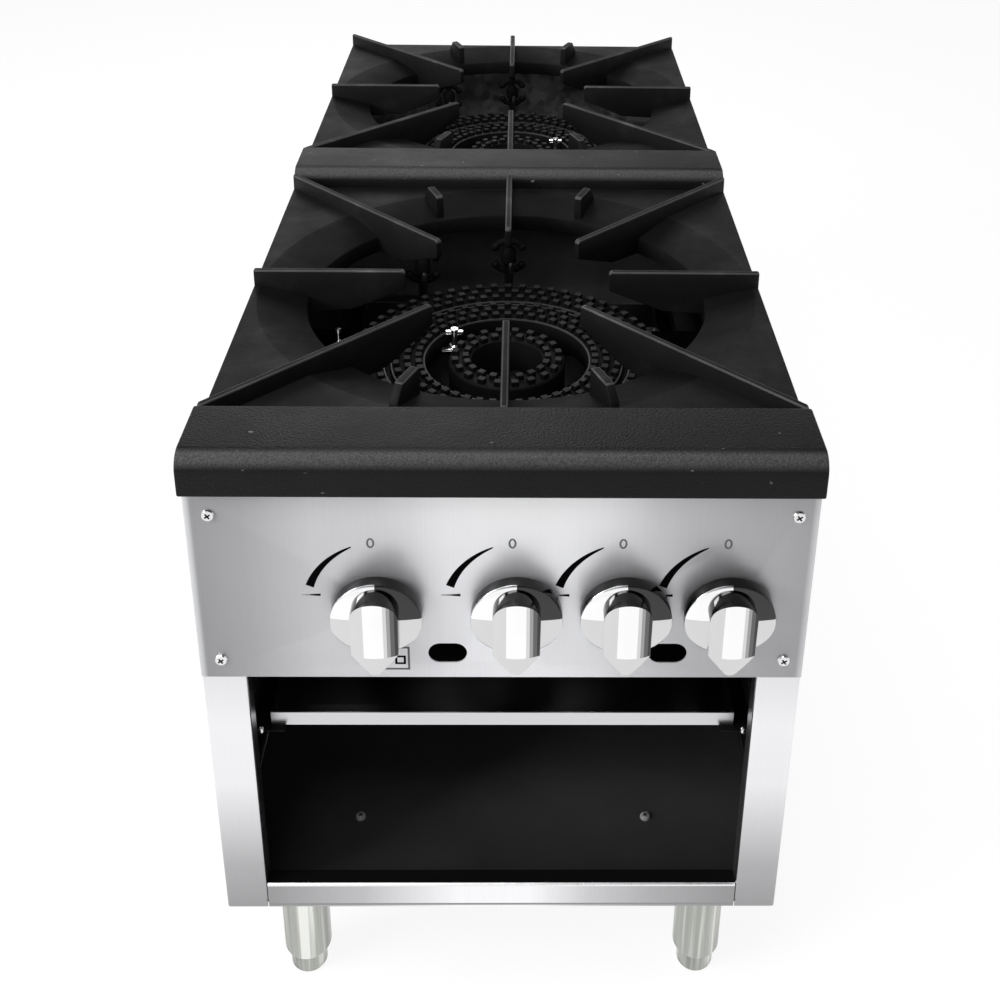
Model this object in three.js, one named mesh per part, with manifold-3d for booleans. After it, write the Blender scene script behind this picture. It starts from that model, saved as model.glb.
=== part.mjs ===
// Stock pot range with two burner sections, one behind the other, over an open cabinet.
// Millimetres. X runs to the right, Y to the back and Z up from the floor.
// Every piece is drawn from the face of the control panel (Y = 0); the last group centres the whole.

import * as THREE from "three";
import { mergeGeometries, mergeVertices } from "three/addons/utils/BufferGeometryUtils.js";
import Module from "manifold-3d";

const wasm = await Module();
wasm.setup();

// ---- Driving dimensions ----

const bodyWidth = 457;
const sectionPitch = 533.4;
const backFace = 1054.2;
const legHeight = 125;
const cookingHeight = 575;
const sheet = 1.2;
const fitGap = 0.3;

const half = bodyWidth / 2;
const bodyTop = 545;
const sideCentre = half - sheet / 2;

const post = { front: 2, inner: 195, returnDepth: 15, returnBottom: 132 };
const rail = { top: 150, depth: 14 };
const floorPan = { top: 131, front: 3.8, back: 1050.4 };
const panel = { bottom: 373, top: 545, flange: 14, flangeHalf: 188 };

const ledge = { front: -12, back: 56.2, bottom: 545.4, top: 579, sheet: 1.6, nose: 16, toe: 9, lip: 14 };

const grate = {
  centre: 291,
  halfDepth: 229.5,
  plateTop: 553.4,
  plateBottom: 545.4,
  dishRadius: 222,
  holeRadius: 185.5,
  holeTop: 544.5,
  lipBottom: 531.5,
  lipWall: 7,
  fins: 8,
  finInner: 92,
  finWidth: 6.5,
  tipDepth: 19,
  webRadius: 142,
  webBottom: 535,
  shortFinInner: 182,
  shortFinAngle: 22.5,
};

const burner = {
  top: 485,
  bottom: 462,
  nub: 3.5,
  nubSize: 6,
  innerRing: { inner: 33, outer: 54, rows: [38.5, 48], ports: 9 },
  middleRing: { inner: 76, outer: 108, rows: [84.5, 99], ports: 13 },
  outerRing: { inner: 113, outer: 149, rows: [122.5, 139.5], ports: 17 },
};

const gasHeight = 437;
const knobPlaces = [-92.5, 10.5, 91, 167.5];
const outerMixerX = knobPlaces[0];
const innerMixerX = knobPlaces[1];

const knob = {
  skirtRadius: 35,
  back: -3,
  skirtFront: -18,
  gripFront: -37,
  gripHalf: 15.4,
  crease: -11,
  footRadius: 6.6,
  footPlace: -27.4,
};
const slot = { places: [-41.3, 124.7], height: 396.5, width: 29, tall: 18 };

const pipe = { radius: 13.35, bore: 10.5, height: 400, row: 34, inletX: 198, inletEnd: 1074 };
const valve = { front: 8, body: 48, hood: 66, tip: 74, nut: 58 };
const mixer = { mouth: 75, throat: 106, mouthRadius: 24, throatRadius: 14.5, tubeRadius: 16, wall: 2.6 };
const shutter = { front: 72.4, plate: 1.6, back: 84, radius: 26.3 };
const feed = { radius: 6, upper: 400, lower: 382, hoodPlate: 586, hoodTip: 605 };

const liner = { x: 216, top: 542.9, bottom: 307, front: 22, back: 1048, foot: 203 };
const runner = { web: 203.4, shelf: 178, shelfHeight: 279, front: 40, back: 1046, ear: 213.5 };
const tray = { half: 189.5, front: 46, back: 1040, floor: 280, lip: 292.8, wall: 1 };
const baffle = { place: 548, bottom: 415, half: 214.9 };
const bearer = { top: 418, depth: 100, half: 214.8, endHeight: 24 };
const pilotRail = { place: 150, depth: 50 };

const leg = { x: 174, front: 50, back: 1004, radius: 20.5, wall: 1.8, bottom: 22.8, nutTop: 30, bore: 6.5 };
const legPlate = { halfWidth: 51, halfDepth: 46, bottom: 126.4, top: 129.4 };
const foot = { radius: 16, height: 22.5, stud: 6, studTop: 72 };

// ---- Solids: three.js geometries joined and cut ----

function toSolid(geometry) {
  const plain = new THREE.BufferGeometry();
  plain.setAttribute("position", geometry.getAttribute("position").clone());
  if (geometry.index) plain.setIndex(geometry.index.clone());
  const welded = mergeVertices(plain, 1e-3);
  const corners = [];
  for (let i = 0; i < welded.index.count; i += 3) {
    const [a, b, c] = [0, 1, 2].map((k) => welded.index.getX(i + k));
    if (a !== b && b !== c && c !== a) corners.push(a, b, c);
  }
  return new wasm.Manifold(new wasm.Mesh({
    numProp: 3,
    vertProperties: new Float32Array(welded.getAttribute("position").array),
    triVerts: new Uint32Array(corners),
  }));
}

function toGeometry(solid) {
  const mesh = solid.getMesh();
  const geometry = new THREE.BufferGeometry();
  geometry.setAttribute("position", new THREE.BufferAttribute(mesh.vertProperties, 3));
  geometry.setIndex(new THREE.BufferAttribute(mesh.triVerts, 1));
  return geometry;
}

function join(...solids) {
  return solids.reduce((whole, next) => whole.add(next));
}

function cut(solid, ...tools) {
  return tools.reduce((rest, tool) => rest.subtract(tool), solid);
}

function box(x0, x1, y0, y1, z0, z1) {
  const block = new THREE.BoxGeometry(x1 - x0, y1 - y0, z1 - z0);
  return toSolid(block.translate((x0 + x1) / 2, (y0 + y1) / 2, (z0 + z1) / 2));
}

// Turns a geometry drawn along +Y so that it lies along the named axis, then places it.
function lay(geometry, axis, place) {
  if (axis === "z") geometry.rotateX(Math.PI / 2);
  if (axis === "x") geometry.rotateZ(-Math.PI / 2);
  return geometry.translate(...place);
}

// A revolved profile of [radius, distance along the axis] points, in counter-clockwise order.
function revolve(profile, axis, place = [0, 0, 0], segments = 16) {
  const points = profile.map(([radius, along]) => new THREE.Vector2(radius, along));
  const opens = points[0].x > 0 || points.at(-1).x > 0;
  if (opens) points.push(points[0].clone());
  return toSolid(lay(new THREE.LatheGeometry(points, segments), axis, place));
}

function rod(radius, from, to, axis, place = [0, 0, 0], sides = 12) {
  return revolve([[0, from], [radius, from], [radius, to], [0, to]], axis, place, sides);
}

function tubeLength(radius, bore, from, to, axis, place = [0, 0, 0], sides = 16) {
  return revolve([[bore, from], [radius, from], [radius, to], [bore, to]], axis, place, sides);
}

// Pushes a flat outline through the piece. Along x it is drawn in (Y, Z), along y in (X, Z), along z in (X, Y).
function push(outline, axis, from, to) {
  const geometry = new THREE.ExtrudeGeometry(outline, { depth: to - from, bevelEnabled: false, curveSegments: 5 });
  if (axis === "z") return toSolid(geometry.translate(0, 0, from));
  if (axis === "y") return toSolid(geometry.rotateX(Math.PI / 2).translate(0, to, 0));
  return toSolid(geometry.rotateX(Math.PI / 2).rotateZ(Math.PI / 2).translate(from, 0, 0));
}

function outlineOf(points) {
  return new THREE.Shape(points.map(([u, v]) => new THREE.Vector2(u, v)));
}

// A line through the corners, with each inner corner rounded. bends is one radius or one for each corner.
function roundedLine(corners, bends, steps = 2) {
  const points = corners.map(([u, v]) => new THREE.Vector2(u, v));
  const line = [points[0]];
  for (let i = 1; i < points.length - 1; i++) {
    const bend = Array.isArray(bends) ? bends[i - 1] : bends;
    const arriving = points[i].clone().sub(points[i - 1]).normalize();
    const leaving = points[i + 1].clone().sub(points[i]).normalize();
    const turn = Math.atan2(arriving.cross(leaving), arriving.dot(leaving));
    const setBack = bend * Math.tan(Math.abs(turn) / 2);
    const start = points[i].clone().addScaledVector(arriving, -setBack);
    const side = new THREE.Vector2(-arriving.y, arriving.x).multiplyScalar(bend * Math.sign(turn));
    const centre = start.clone().add(side);
    for (let k = 0; k <= steps; k++) line.push(start.clone().rotateAround(centre, (turn * k) / steps));
  }
  line.push(points.at(-1));
  return line;
}

// One side of a bent sheet: its centre line moved sideways, to the left of its travel where shift is positive.
function offsetLine(line, shift) {
  return line.map((point, i) => {
    const before = i > 0 ? point.clone().sub(line[i - 1]).normalize() : null;
    const after = i < line.length - 1 ? line[i + 1].clone().sub(point).normalize() : null;
    const along = (before ?? after).clone().add(after ?? before).normalize();
    const reach = shift / along.dot(after ?? before);
    return new THREE.Vector2(point.x - along.y * reach, point.y + along.x * reach);
  });
}

function sheetOutline(line, thickness) {
  const left = offsetLine(line, thickness / 2);
  const right = offsetLine(line, -thickness / 2);
  return new THREE.Shape([...left, ...right.reverse()]);
}

function bentSheet(corners, bends, axis, from, to, thickness = sheet) {
  return push(sheetOutline(roundedLine(corners, bends), thickness), axis, from, to);
}

function mirrored(solid) {
  return solid.mirror([1, 0, 0]);
}

// A route of straight runs with rounded corners, stepped once along each run and twice round each corner.
class Route extends THREE.Curve {
  constructor(corners, bend) {
    super();
    const points = corners.map((corner) => new THREE.Vector3(...corner));
    this.stops = [points[0]];
    for (let i = 1; i < points.length - 1; i++) {
      const back = points[i - 1].clone().sub(points[i]).normalize();
      const on = points[i + 1].clone().sub(points[i]).normalize();
      const corner = new THREE.QuadraticBezierCurve3(
        points[i].clone().addScaledVector(back, bend),
        points[i],
        points[i].clone().addScaledVector(on, bend),
      );
      this.stops.push(...corner.getPoints(2));
    }
    this.stops.push(points.at(-1));
    this.steps = this.stops.length - 1;
  }

  getPoint(t, target = new THREE.Vector3()) {
    const run = Math.min(Math.floor(t * this.steps + 1e-6), this.steps - 1);
    return target.lerpVectors(this.stops[run], this.stops[run + 1], t * this.steps - run);
  }

  getPointAt(t, target) {
    return this.getPoint(t, target);
  }

  getTangentAt(t, target = new THREE.Vector3()) {
    const stop = Math.round(t * this.steps);
    const before = this.stops[Math.max(stop - 1, 0)];
    const at = this.stops[stop];
    const after = this.stops[Math.min(stop + 1, this.steps)];
    const arriving = at.clone().sub(before).normalize();
    const leaving = after.clone().sub(at).normalize();
    return target.copy(arriving.add(leaving).normalize());
  }
}

function tubeAlong(corners, radius, bend, sides = 6) {
  const route = new Route(corners, bend);
  const section = new THREE.Shape();
  for (let i = 0; i < sides; i++) {
    const turn = (i * 2 * Math.PI) / sides;
    const method = i === 0 ? "moveTo" : "lineTo";
    section[method](radius * Math.cos(turn), radius * Math.sin(turn));
  }
  return toSolid(new THREE.ExtrudeGeometry(section, { steps: route.steps, extrudePath: route }));
}

// ---- Naming, finish and place of a piece ----

const finishes = {
  stainless: { color: 0xc9cbce, roughness: 0.28, metalness: 1 },
  galvanised: { color: 0x9a9fa3, roughness: 0.5, metalness: 0.9 },
  blackPaint: { color: 0x1b1b1d, roughness: 0.42, metalness: 0.1 },
  darkSheet: { color: 0x2e3033, roughness: 0.55, metalness: 0.6 },
  castIron: { color: 0x1d1d1e, roughness: 0.75, metalness: 0.4 },
  chrome: { color: 0xdcdee0, roughness: 0.08, metalness: 1 },
  brass: { color: 0xb08d4c, roughness: 0.35, metalness: 1 },
  blackPipe: { color: 0x2a2b2d, roughness: 0.6, metalness: 0.6 },
  brushedLeg: { color: 0xb3b8b4, roughness: 0.38, metalness: 1 },
};

function piece(name, solid, finish, place = [0, 0, 0]) {
  const mesh = new THREE.Mesh(toGeometry(solid), new THREE.MeshStandardMaterial(finishes[finish]));
  mesh.name = name;
  mesh.position.set(...place);
  return mesh;
}

// ---- Cabinet ----

// One bent sheet makes the side wall, the front post with its return, and the rear flange.
function sidePanel() {
  const [flangeWidth, endGap] = [15, 4];
  const rearFlange = [-half + flangeWidth, backFace - 1.5 * sheet - 0.4];
  const wall = [[-sideCentre, rearFlange[1]], rearFlange];
  const front = [-sideCentre, post.front];
  const postEdge = [-post.inner, post.front];
  const returnEdge = [-post.inner, post.front + post.returnDepth];
  const foldedPost = [returnEdge, postEdge, front, ...wall];
  const plainPost = [postEdge, front, ...wall];
  const upper = bentSheet(foldedPost, 1.5, "z", post.returnBottom, bodyTop - sheet);
  const lower = bentSheet(plainPost, 1.5, "z", legHeight, post.returnBottom);
  const flangeStart = panel.flange + endGap;
  const topFlange = box(-half, -half + flangeWidth, flangeStart, backFace - endGap, bodyTop - sheet, bodyTop);
  return join(upper, lower, topFlange);
}

function backPanel() {
  const plate = box(-half + 0.5, half - 0.5, backFace - sheet, backFace, legHeight + 1, bodyTop - 2);
  const inletHole = rod(15.5, backFace - 10, backFace + 10, "y", [pipe.inletX, 0, pipe.height], 20);
  const vents = [];
  const [ventPitch, ventHalf, ventRise] = [76, 29, 4];
  for (const height of [330, 352]) {
    for (let i = -2; i <= 2; i++) {
      const [left, right] = [i * ventPitch - ventHalf, i * ventPitch + ventHalf];
      vents.push(box(left, right, backFace - 10, backFace + 10, height - ventRise, height + ventRise));
    }
  }
  return cut(plate, inletHole, ...vents);
}

function floorPanel() {
  const edge = sideCentre - sheet - fitGap;
  const [low, high] = [legHeight + 1, floorPan.top - sheet / 2];
  const section = [[-edge, low], [-edge, high], [edge, high], [edge, low]];
  return bentSheet(section, 1.5, "y", floorPan.front, floorPan.back);
}

function bottomRail() {
  const high = rail.top - sheet / 2;
  const section = [[post.front + rail.depth, high], [post.front, high], [post.front, legHeight]];
  const reach = post.inner - sheet / 2 - fitGap;
  return bentSheet(section, 1.5, "x", -reach, reach);
}

function controlPanel() {
  const face = box(-half, half, 0, sheet, panel.bottom, panel.top);
  const [low, high] = [panel.bottom + sheet / 2, panel.top - sheet / 2];
  const section = [[panel.flange, high], [sheet / 2, high], [sheet / 2, low], [panel.flange, low]];
  const folds = bentSheet(section, 1.5, "x", -panel.flangeHalf, panel.flangeHalf);
  const stemHoles = knobPlaces.map((x) => rod(7, -5, 5, "y", [x, 0, gasHeight], 8));
  const roundEnd = slot.tall / 2;
  const viewSlots = slot.places.map((x) => {
    const outline = new THREE.Shape();
    const reach = slot.width / 2 - roundEnd;
    outline.absarc(x - reach, slot.height, roundEnd, Math.PI / 2, (3 * Math.PI) / 2);
    outline.absarc(x + reach, slot.height, roundEnd, -Math.PI / 2, Math.PI / 2);
    return push(outline, "y", -5, 5);
  });
  return cut(join(face, folds), ...stemHoles, ...viewSlots);
}

// The bullnose ledge in front of a grate: a rolled sheet with closed ends, open behind and below.
function ledgeShell() {
  const { sheet: wall, nose, toe } = ledge;
  const [front, back] = [ledge.front + wall / 2, ledge.back - wall / 2];
  const [low, high] = [ledge.bottom + wall / 2, ledge.top - wall / 2];
  const corners = [[ledge.lip, low], [front, low], [front, high], [back, high], [back, ledge.bottom]];
  const line = roundedLine(corners, [toe, nose, 2.5], 3);
  const shell = push(sheetOutline(line, wall), "x", -half, half);
  const endOutline = new THREE.Shape(offsetLine(line, 0.2).slice(1));
  const inset = 0.4;
  const ends = [-half + inset, half - inset - wall].map((from) => push(endOutline, "x", from, from + wall));
  return join(shell, ...ends);
}

// The angle on the back panel that carries the rear grate's back edge.
function grateRest() {
  const place = backFace - sheet - fitGap - sheet / 2;
  const high = bodyTop - sheet / 2;
  const section = [[place, high - 30], [place, high], [place - 12, high]];
  return bentSheet(section, 1.5, "x", -211, 211);
}

// The inner wall beside the burners: a flange under the side panel's top, and a foot for the tray runner.
function sideLiner() {
  const { x, top, bottom, front, back, foot: footEdge } = liner;
  const wallEdge = half - sheet - fitGap;
  const section = [[-wallEdge, top], [-x, top], [-x, bottom], [-footEdge, bottom]];
  return bentSheet(section, 1.5, "y", front, back);
}

function trayRunner() {
  const high = liner.bottom - sheet - fitGap;
  const section = [
    [-runner.shelf, runner.shelfHeight],
    [-runner.web, runner.shelfHeight],
    [-runner.web, high],
    [-runner.ear, high],
  ];
  return bentSheet(section, 1.5, "y", runner.front, runner.back);
}

function middleBaffle() {
  const { place, bottom, half: reach } = baffle;
  const section = [[place - 14, bottom], [place, bottom], [place, liner.top], [place - 14, liner.top]];
  return bentSheet(section, 1.5, "x", -reach, reach);
}

// A shallow pan with its rim turned down at the front as a pull.
function crumbTray() {
  const { half: reach, front, back, floor, lip, wall } = tray;
  const block = box(-reach, reach, front, back, floor, lip);
  const hollow = box(-reach + wall, reach - wall, front + wall, back - wall, floor + wall, lip + 1);
  const pull = box(-reach + 30, reach - 30, front + wall, front + 9, lip - wall, lip);
  return join(cut(block, hollow), pull);
}

function cabinet() {
  const group = new THREE.Group();
  const left = sidePanel();
  const leftLiner = sideLiner();
  const leftRunner = trayRunner();
  group.add(
    piece("left_side_panel", left, "stainless"),
    piece("right_side_panel", mirrored(left), "stainless"),
    piece("back_panel", backPanel(), "galvanised"),
    piece("floor_panel", floorPanel(), "darkSheet"),
    piece("front_bottom_rail", bottomRail(), "stainless"),
    piece("control_panel", controlPanel(), "stainless"),
    piece("front_ledge", ledgeShell(), "blackPaint"),
    piece("middle_ledge", ledgeShell(), "blackPaint", [0, sectionPitch, 0]),
    piece("rear_grate_rest", grateRest(), "galvanised"),
    piece("left_liner", leftLiner, "darkSheet"),
    piece("right_liner", mirrored(leftLiner), "darkSheet"),
    piece("left_tray_runner", leftRunner, "galvanised"),
    piece("right_tray_runner", mirrored(leftRunner), "galvanised"),
    piece("middle_baffle", middleBaffle(), "darkSheet"),
    piece("crumb_tray", crumbTray(), "stainless"),
  );
  return group;
}

// ---- Legs ----

function legTube() {
  const { radius, wall, bottom, nutTop, bore } = leg;
  const top = legPlate.bottom + 1;
  const profile = [
    [bore, bottom],
    [radius - 1.5, bottom],
    [radius, bottom + 2],
    [radius, top],
    [radius - wall, top],
    [radius - wall, nutTop],
    [bore, nutTop],
  ];
  const { halfWidth, halfDepth } = legPlate;
  const plate = box(-halfWidth, halfWidth, -halfDepth, halfDepth, legPlate.bottom, legPlate.top);
  return join(revolve(profile, "z", [0, 0, 0], 12), plate);
}

function legFoot() {
  const { radius, height, stud, studTop } = foot;
  const profile = [
    [0, 0],
    [radius - 3, 0],
    [radius, 3],
    [radius, height - 1.5],
    [radius - 1.5, height],
    [stud, height],
    [stud, studTop],
    [0, studTop],
  ];
  return revolve(profile, "z", [0, 0, 0], 12);
}

function legs() {
  const group = new THREE.Group();
  for (const [end, y] of [["front", leg.front], ["rear", leg.back]]) {
    for (const [side, x] of [["left", -leg.x], ["right", leg.x]]) {
      group.add(piece(`${end}_${side}_leg`, legTube(), "brushedLeg", [x, y, 0]));
      group.add(piece(`${end}_${side}_foot`, legFoot(), "brushedLeg", [x, y, 0]));
    }
  }
  return group;
}

// ---- Cast grate ----

// One upright fin, drawn along +X from the grate's centre and turned to its angle.
function fin(angle, outer) {
  const { finInner, finWidth, tipDepth, webRadius, webBottom, dishRadius, holeRadius, lipWall, lipBottom } = grate;
  const lipOuter = holeRadius + lipWall;
  const profile = outlineOf([
    [finInner, cookingHeight - 2],
    [finInner + 2, cookingHeight],
    [outer, cookingHeight],
    [outer, grate.plateBottom + 1],
    [dishRadius - 10, grate.plateBottom + 1],
    [lipOuter, lipBottom + 5],
    [lipOuter - 1, lipBottom],
    [holeRadius - 6, webBottom - 2],
    [webRadius, webBottom],
    [finInner, cookingHeight - tipDepth],
  ]);
  return push(profile, "y", -finWidth / 2, finWidth / 2).rotate([0, 0, angle]);
}

// A short fin stands on the rim between two long ones, at the front and the back only.
function shortFin(angle, outer) {
  const { shortFinInner, finWidth, dishRadius, holeRadius, lipWall, lipBottom } = grate;
  const profile = outlineOf([
    [shortFinInner, cookingHeight - 14],
    [shortFinInner + 6, cookingHeight],
    [outer, cookingHeight],
    [outer, grate.plateBottom + 1],
    [dishRadius - 10, grate.plateBottom + 1],
    [holeRadius + lipWall, lipBottom + 5],
    [shortFinInner, lipBottom + 4],
  ]);
  return push(profile, "y", -finWidth / 2, finWidth / 2).rotate([0, 0, angle]);
}

// How far it is from the grate's centre to its edge along a direction in degrees.
function reachToEdge(angle) {
  const turn = (angle * Math.PI) / 180;
  const acrossWidth = half / Math.max(Math.abs(Math.cos(turn)), 1e-6);
  const acrossDepth = grate.halfDepth / Math.max(Math.abs(Math.sin(turn)), 1e-6);
  return Math.min(acrossWidth, acrossDepth);
}

function castGrate() {
  const { plateTop, plateBottom, dishRadius, holeRadius, holeTop, lipBottom, lipWall, halfDepth } = grate;
  const segments = 26;
  const plate = cut(
    box(-half, half, -halfDepth, halfDepth, plateBottom, plateTop),
    rod(dishRadius, plateBottom - 5, plateTop + 5, "z", [0, 0, 0], segments),
  );
  const dish = revolve([
    [holeRadius, lipBottom],
    [holeRadius + lipWall - 1, lipBottom],
    [holeRadius + lipWall, holeTop - 6],
    [dishRadius - 10, plateBottom],
    [dishRadius + 1, plateBottom],
    [dishRadius + 1, plateTop],
    [holeRadius, holeTop],
  ], "z", [0, 0, 0], segments);
  const trim = box(-half, half, -halfDepth, halfDepth, lipBottom - 1, cookingHeight + 1);
  const fins = [];
  for (let i = 0; i < grate.fins; i++) {
    const angle = (i * 360) / grate.fins;
    fins.push(fin(angle, reachToEdge(angle) + grate.finWidth));
  }
  for (const middle of [90, 270]) {
    for (const side of [-1, 1]) {
      const angle = middle + side * grate.shortFinAngle;
      fins.push(shortFin(angle, reachToEdge(angle) + grate.finWidth));
    }
  }
  return join(plate, dish, ...fins).intersect(trim);
}

// ---- Burner castings ----

// The rows of square nubs between the ports of one ring. Every second row is turned by half a step.
function nubRows(ring) {
  const { top, nub, nubSize } = burner;
  const nubs = [];
  ring.rows.forEach((radius, row) => {
    for (let i = 0; i < ring.ports; i++) {
      const block = new THREE.BoxGeometry(nubSize, nubSize, nub + 1);
      block.translate(radius, 0, top + nub / 2 - 0.5);
      block.rotateZ(((i + row / 2) * 2 * Math.PI) / ring.ports);
      nubs.push(block);
    }
  });
  return toSolid(mergeGeometries(nubs));
}

// A mixing tube: a bell mouth at the front, a narrow throat and a long neck back to its ring.
function mixingTube(x, end) {
  const { mouth, throat, mouthRadius, throatRadius, tubeRadius, wall } = mixer;
  const profile = [
    [0, end],
    [0, end - 12],
    [tubeRadius - wall, end - 14],
    [throatRadius - wall, throat],
    [mouthRadius - wall, mouth],
    [mouthRadius, mouth],
    [throatRadius, throat],
    [tubeRadius, end - 20],
    [tubeRadius, end],
  ];
  return revolve(profile, "y", [x, -grate.centre, gasHeight], 12);
}

function outerBurner() {
  const { top, bottom, middleRing, outerRing } = burner;
  const groove = top - 6;
  const rings = revolve([
    [middleRing.inner, bottom],
    [outerRing.outer - 4, bottom],
    [outerRing.outer, bottom + 4],
    [outerRing.outer, top - 2],
    [outerRing.outer - 2, top],
    [outerRing.inner, top],
    [outerRing.inner - 1, groove],
    [middleRing.outer + 1, groove],
    [middleRing.outer, top],
    [middleRing.inner, top],
  ], "z", [0, 0, 0], 26);
  const ringEdge = grate.centre - Math.sqrt(outerRing.outer ** 2 - outerMixerX ** 2);
  const tubeEnd = ringEdge + 34;
  const tube = mixingTube(outerMixerX, tubeEnd);
  const box0 = tubeEnd - 30 - grate.centre;
  const chamber = box(outerMixerX - 17, outerMixerX + 17, box0, box0 + 44, gasHeight - 16, bottom + 6);
  const feet = [-112, 112].map((x) => rod(7, bearer.top + fitGap, bottom + 6, "z", [x, 0, 0], 10));
  return join(rings, tube, chamber, ...feet, nubRows(middleRing), nubRows(outerRing));
}

function innerBurner() {
  const { top, innerRing } = burner;
  const low = gasHeight + 8;
  const ring = revolve([
    [innerRing.inner, low],
    [innerRing.outer - 5, low],
    [innerRing.outer, low + 8],
    [innerRing.outer, top - 2],
    [innerRing.outer - 2, top],
    [innerRing.inner, top],
  ], "z", [0, 0, 0], 20);
  const tube = mixingTube(innerMixerX, grate.centre + 40);
  const pad = rod(12, bearer.top + fitGap, gasHeight - 8, "z", [0, 0, 0], 12);
  return join(ring, tube, pad, nubRows(innerRing));
}

// A strap across the well between the side liners, with a turned-up end at each of them.
function crossStrap(depth) {
  const { top, half: reach, endHeight } = bearer;
  const [edge, line] = [reach - sheet, top - sheet];
  const section = [[-edge, top + endHeight], [-edge, line], [edge, line], [edge, top + endHeight]];
  return bentSheet(section, 2, "y", -depth / 2, depth / 2, 2 * sheet);
}

// A turning cap over the mouth of a mixing tube, with three air windows round the gas jet.
function airShutter() {
  const { front, plate, back, radius } = shutter;
  const skin = 1.4;
  const profile = [
    [9, front],
    [radius, front],
    [radius, back],
    [radius - skin, back],
    [radius - skin, front + plate],
    [9, front + plate],
  ];
  const cap = revolve(profile, "y", [0, 0, 0], 12);
  const windows = [90, 210, 330].map((angle) => {
    const turn = (angle * Math.PI) / 180;
    return rod(4.6, front - 2, front + 6, "y", [16.4 * Math.cos(turn), 0, 16.4 * Math.sin(turn)], 5);
  });
  return cut(cap, ...windows);
}

// ---- Pilots ----

// A standing pilot: a four-lobed cast cap on a thin stem, with a nut on the rail behind the burner.
function standingPilot() {
  const head = { top: 519, thick: 9, lobe: 7, reach: 10 };
  const nutFoot = bearer.top + fitGap;
  const lobes = [45, 135, 225, 315].map((angle) => {
    const turn = (angle * Math.PI) / 180;
    const place = [head.reach * Math.cos(turn), head.reach * Math.sin(turn), 0];
    return rod(head.lobe, head.top - head.thick, head.top, "z", place, 6);
  });
  const hub = rod(8, head.top - head.thick - 3, head.top - 2, "z", [0, 0, 0], 6);
  const stem = rod(4, nutFoot + 10, head.top - head.thick, "z", [0, 0, 0], 6);
  const nut = rod(8, nutFoot, nutFoot + 12, "z", [0, 0, 0], 6);
  return join(hub, ...lobes, stem, nut);
}

// The bright lighter in the gap round the inner ring: a jet with a small cross-tube, on the bearer.
function ringLighter() {
  const spoutHeight = burner.top + 4;
  const jet = rod(3.5, bearer.top + fitGap, spoutHeight + 4, "z", [0, 0, 0], 6);
  const collar = rod(6, burner.top - 18, burner.top - 10, "z", [0, 0, 0], 6);
  const spout = rod(2.6, -8, 8, "x", [0, 0, spoutHeight], 6);
  return join(jet, collar, spout);
}

function section(end) {
  const group = new THREE.Group();
  const pilotRadius = 165;
  const rearLeft = (122 * Math.PI) / 180;
  const lighterTurn = end === "front" ? (141 * Math.PI) / 180 : (27 * Math.PI) / 180;
  const lighterRadius = 65;
  const burnerShapes = { inner: innerBurner(), outer: outerBurner() };
  group.add(
    piece(`${end}_grate`, castGrate(), "castIron"),
    piece(`${end}_outer_burner`, burnerShapes.outer, "castIron"),
    piece(`${end}_inner_burner`, burnerShapes.inner, "castIron"),
    piece(`${end}_burner_bearer`, crossStrap(bearer.depth), "galvanised"),
    piece(`${end}_pilot_rail`, crossStrap(pilotRail.depth), "galvanised", [0, pilotRail.place, 0]),
    piece(`${end}_back_pilot`, standingPilot(), "castIron", [0, pilotRadius, 0]),
    piece(`${end}_side_pilot`, standingPilot(), "castIron", [
      pilotRadius * Math.cos(rearLeft),
      pilotRadius * Math.sin(rearLeft),
      0,
    ]),
    piece(`${end}_ring_lighter`, ringLighter(), "chrome", [
      lighterRadius * Math.cos(lighterTurn),
      lighterRadius * Math.sin(lighterTurn),
      0,
    ]),
  );
  for (const [name, x] of [["outer", outerMixerX], ["inner", innerMixerX]]) {
    const place = [x, -grate.centre, gasHeight];
    group.add(piece(`${end}_${name}_air_shutter`, airShutter(), "galvanised", place));
  }
  group.position.set(0, grate.centre + (end === "rear" ? sectionPitch : 0), 0);
  return group;
}

// ---- Gas train ----

// A valve screwed down on the manifold. The front pair ends in a jet hood, the rear pair in a tube nut.
function gasValve(hasHood) {
  const { front, body, hood, tip, nut } = valve;
  const barrel = revolve([
    [0, front],
    [14, front],
    [14, front + 4],
    [11, front + 6],
    [11, body],
    [0, body],
  ], "y", [0, 0, 0], 10);
  const tail = rod(8, pipe.height + pipe.radius + fitGap - gasHeight, -6, "z", [0, pipe.row, 0], 10);
  if (!hasHood) return join(barrel, tail, rod(9, body - 1, nut, "y", [0, 0, 0], 6));
  return join(barrel, tail, rod(8.5, body - 1, hood, "y", [0, 0, 0], 6), rod(6, hood - 1, tip, "y", [0, 0, 0], 10));
}

function valveStem() {
  return rod(4, -26, valve.front - fitGap, "y", [0, 0, 0], 8);
}

// The chrome knob: a round skirt crossed by a deep grip, wide above its crease and drawn in to the foot.
function controlKnob() {
  const { skirtRadius, back, skirtFront, gripFront, gripHalf, crease, footRadius, footPlace } = knob;
  const skirt = revolve([
    [0, skirtFront - 3],
    [skirtRadius - 3, skirtFront + 1.5],
    [skirtRadius - 0.6, skirtFront + 4],
    [skirtRadius, back],
    [0, back],
  ], "y", [0, 0, 0], 20);
  const outline = new THREE.Shape();
  outline.absarc(0, skirtRadius - gripHalf - 1, gripHalf, 0, Math.PI);
  outline.lineTo(-gripHalf + 0.6, crease);
  outline.absarc(0, footPlace, footRadius, Math.PI + 0.2, 2 * Math.PI - 0.2);
  outline.lineTo(gripHalf - 0.6, crease);
  const grip = push(outline, "y", gripFront, back - 2);
  const stemBore = rod(4 + fitGap, -26 - fitGap, back + 5, "y", [0, 0, 0], 8);
  return cut(join(skirt, grip), stemBore);
}

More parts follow.
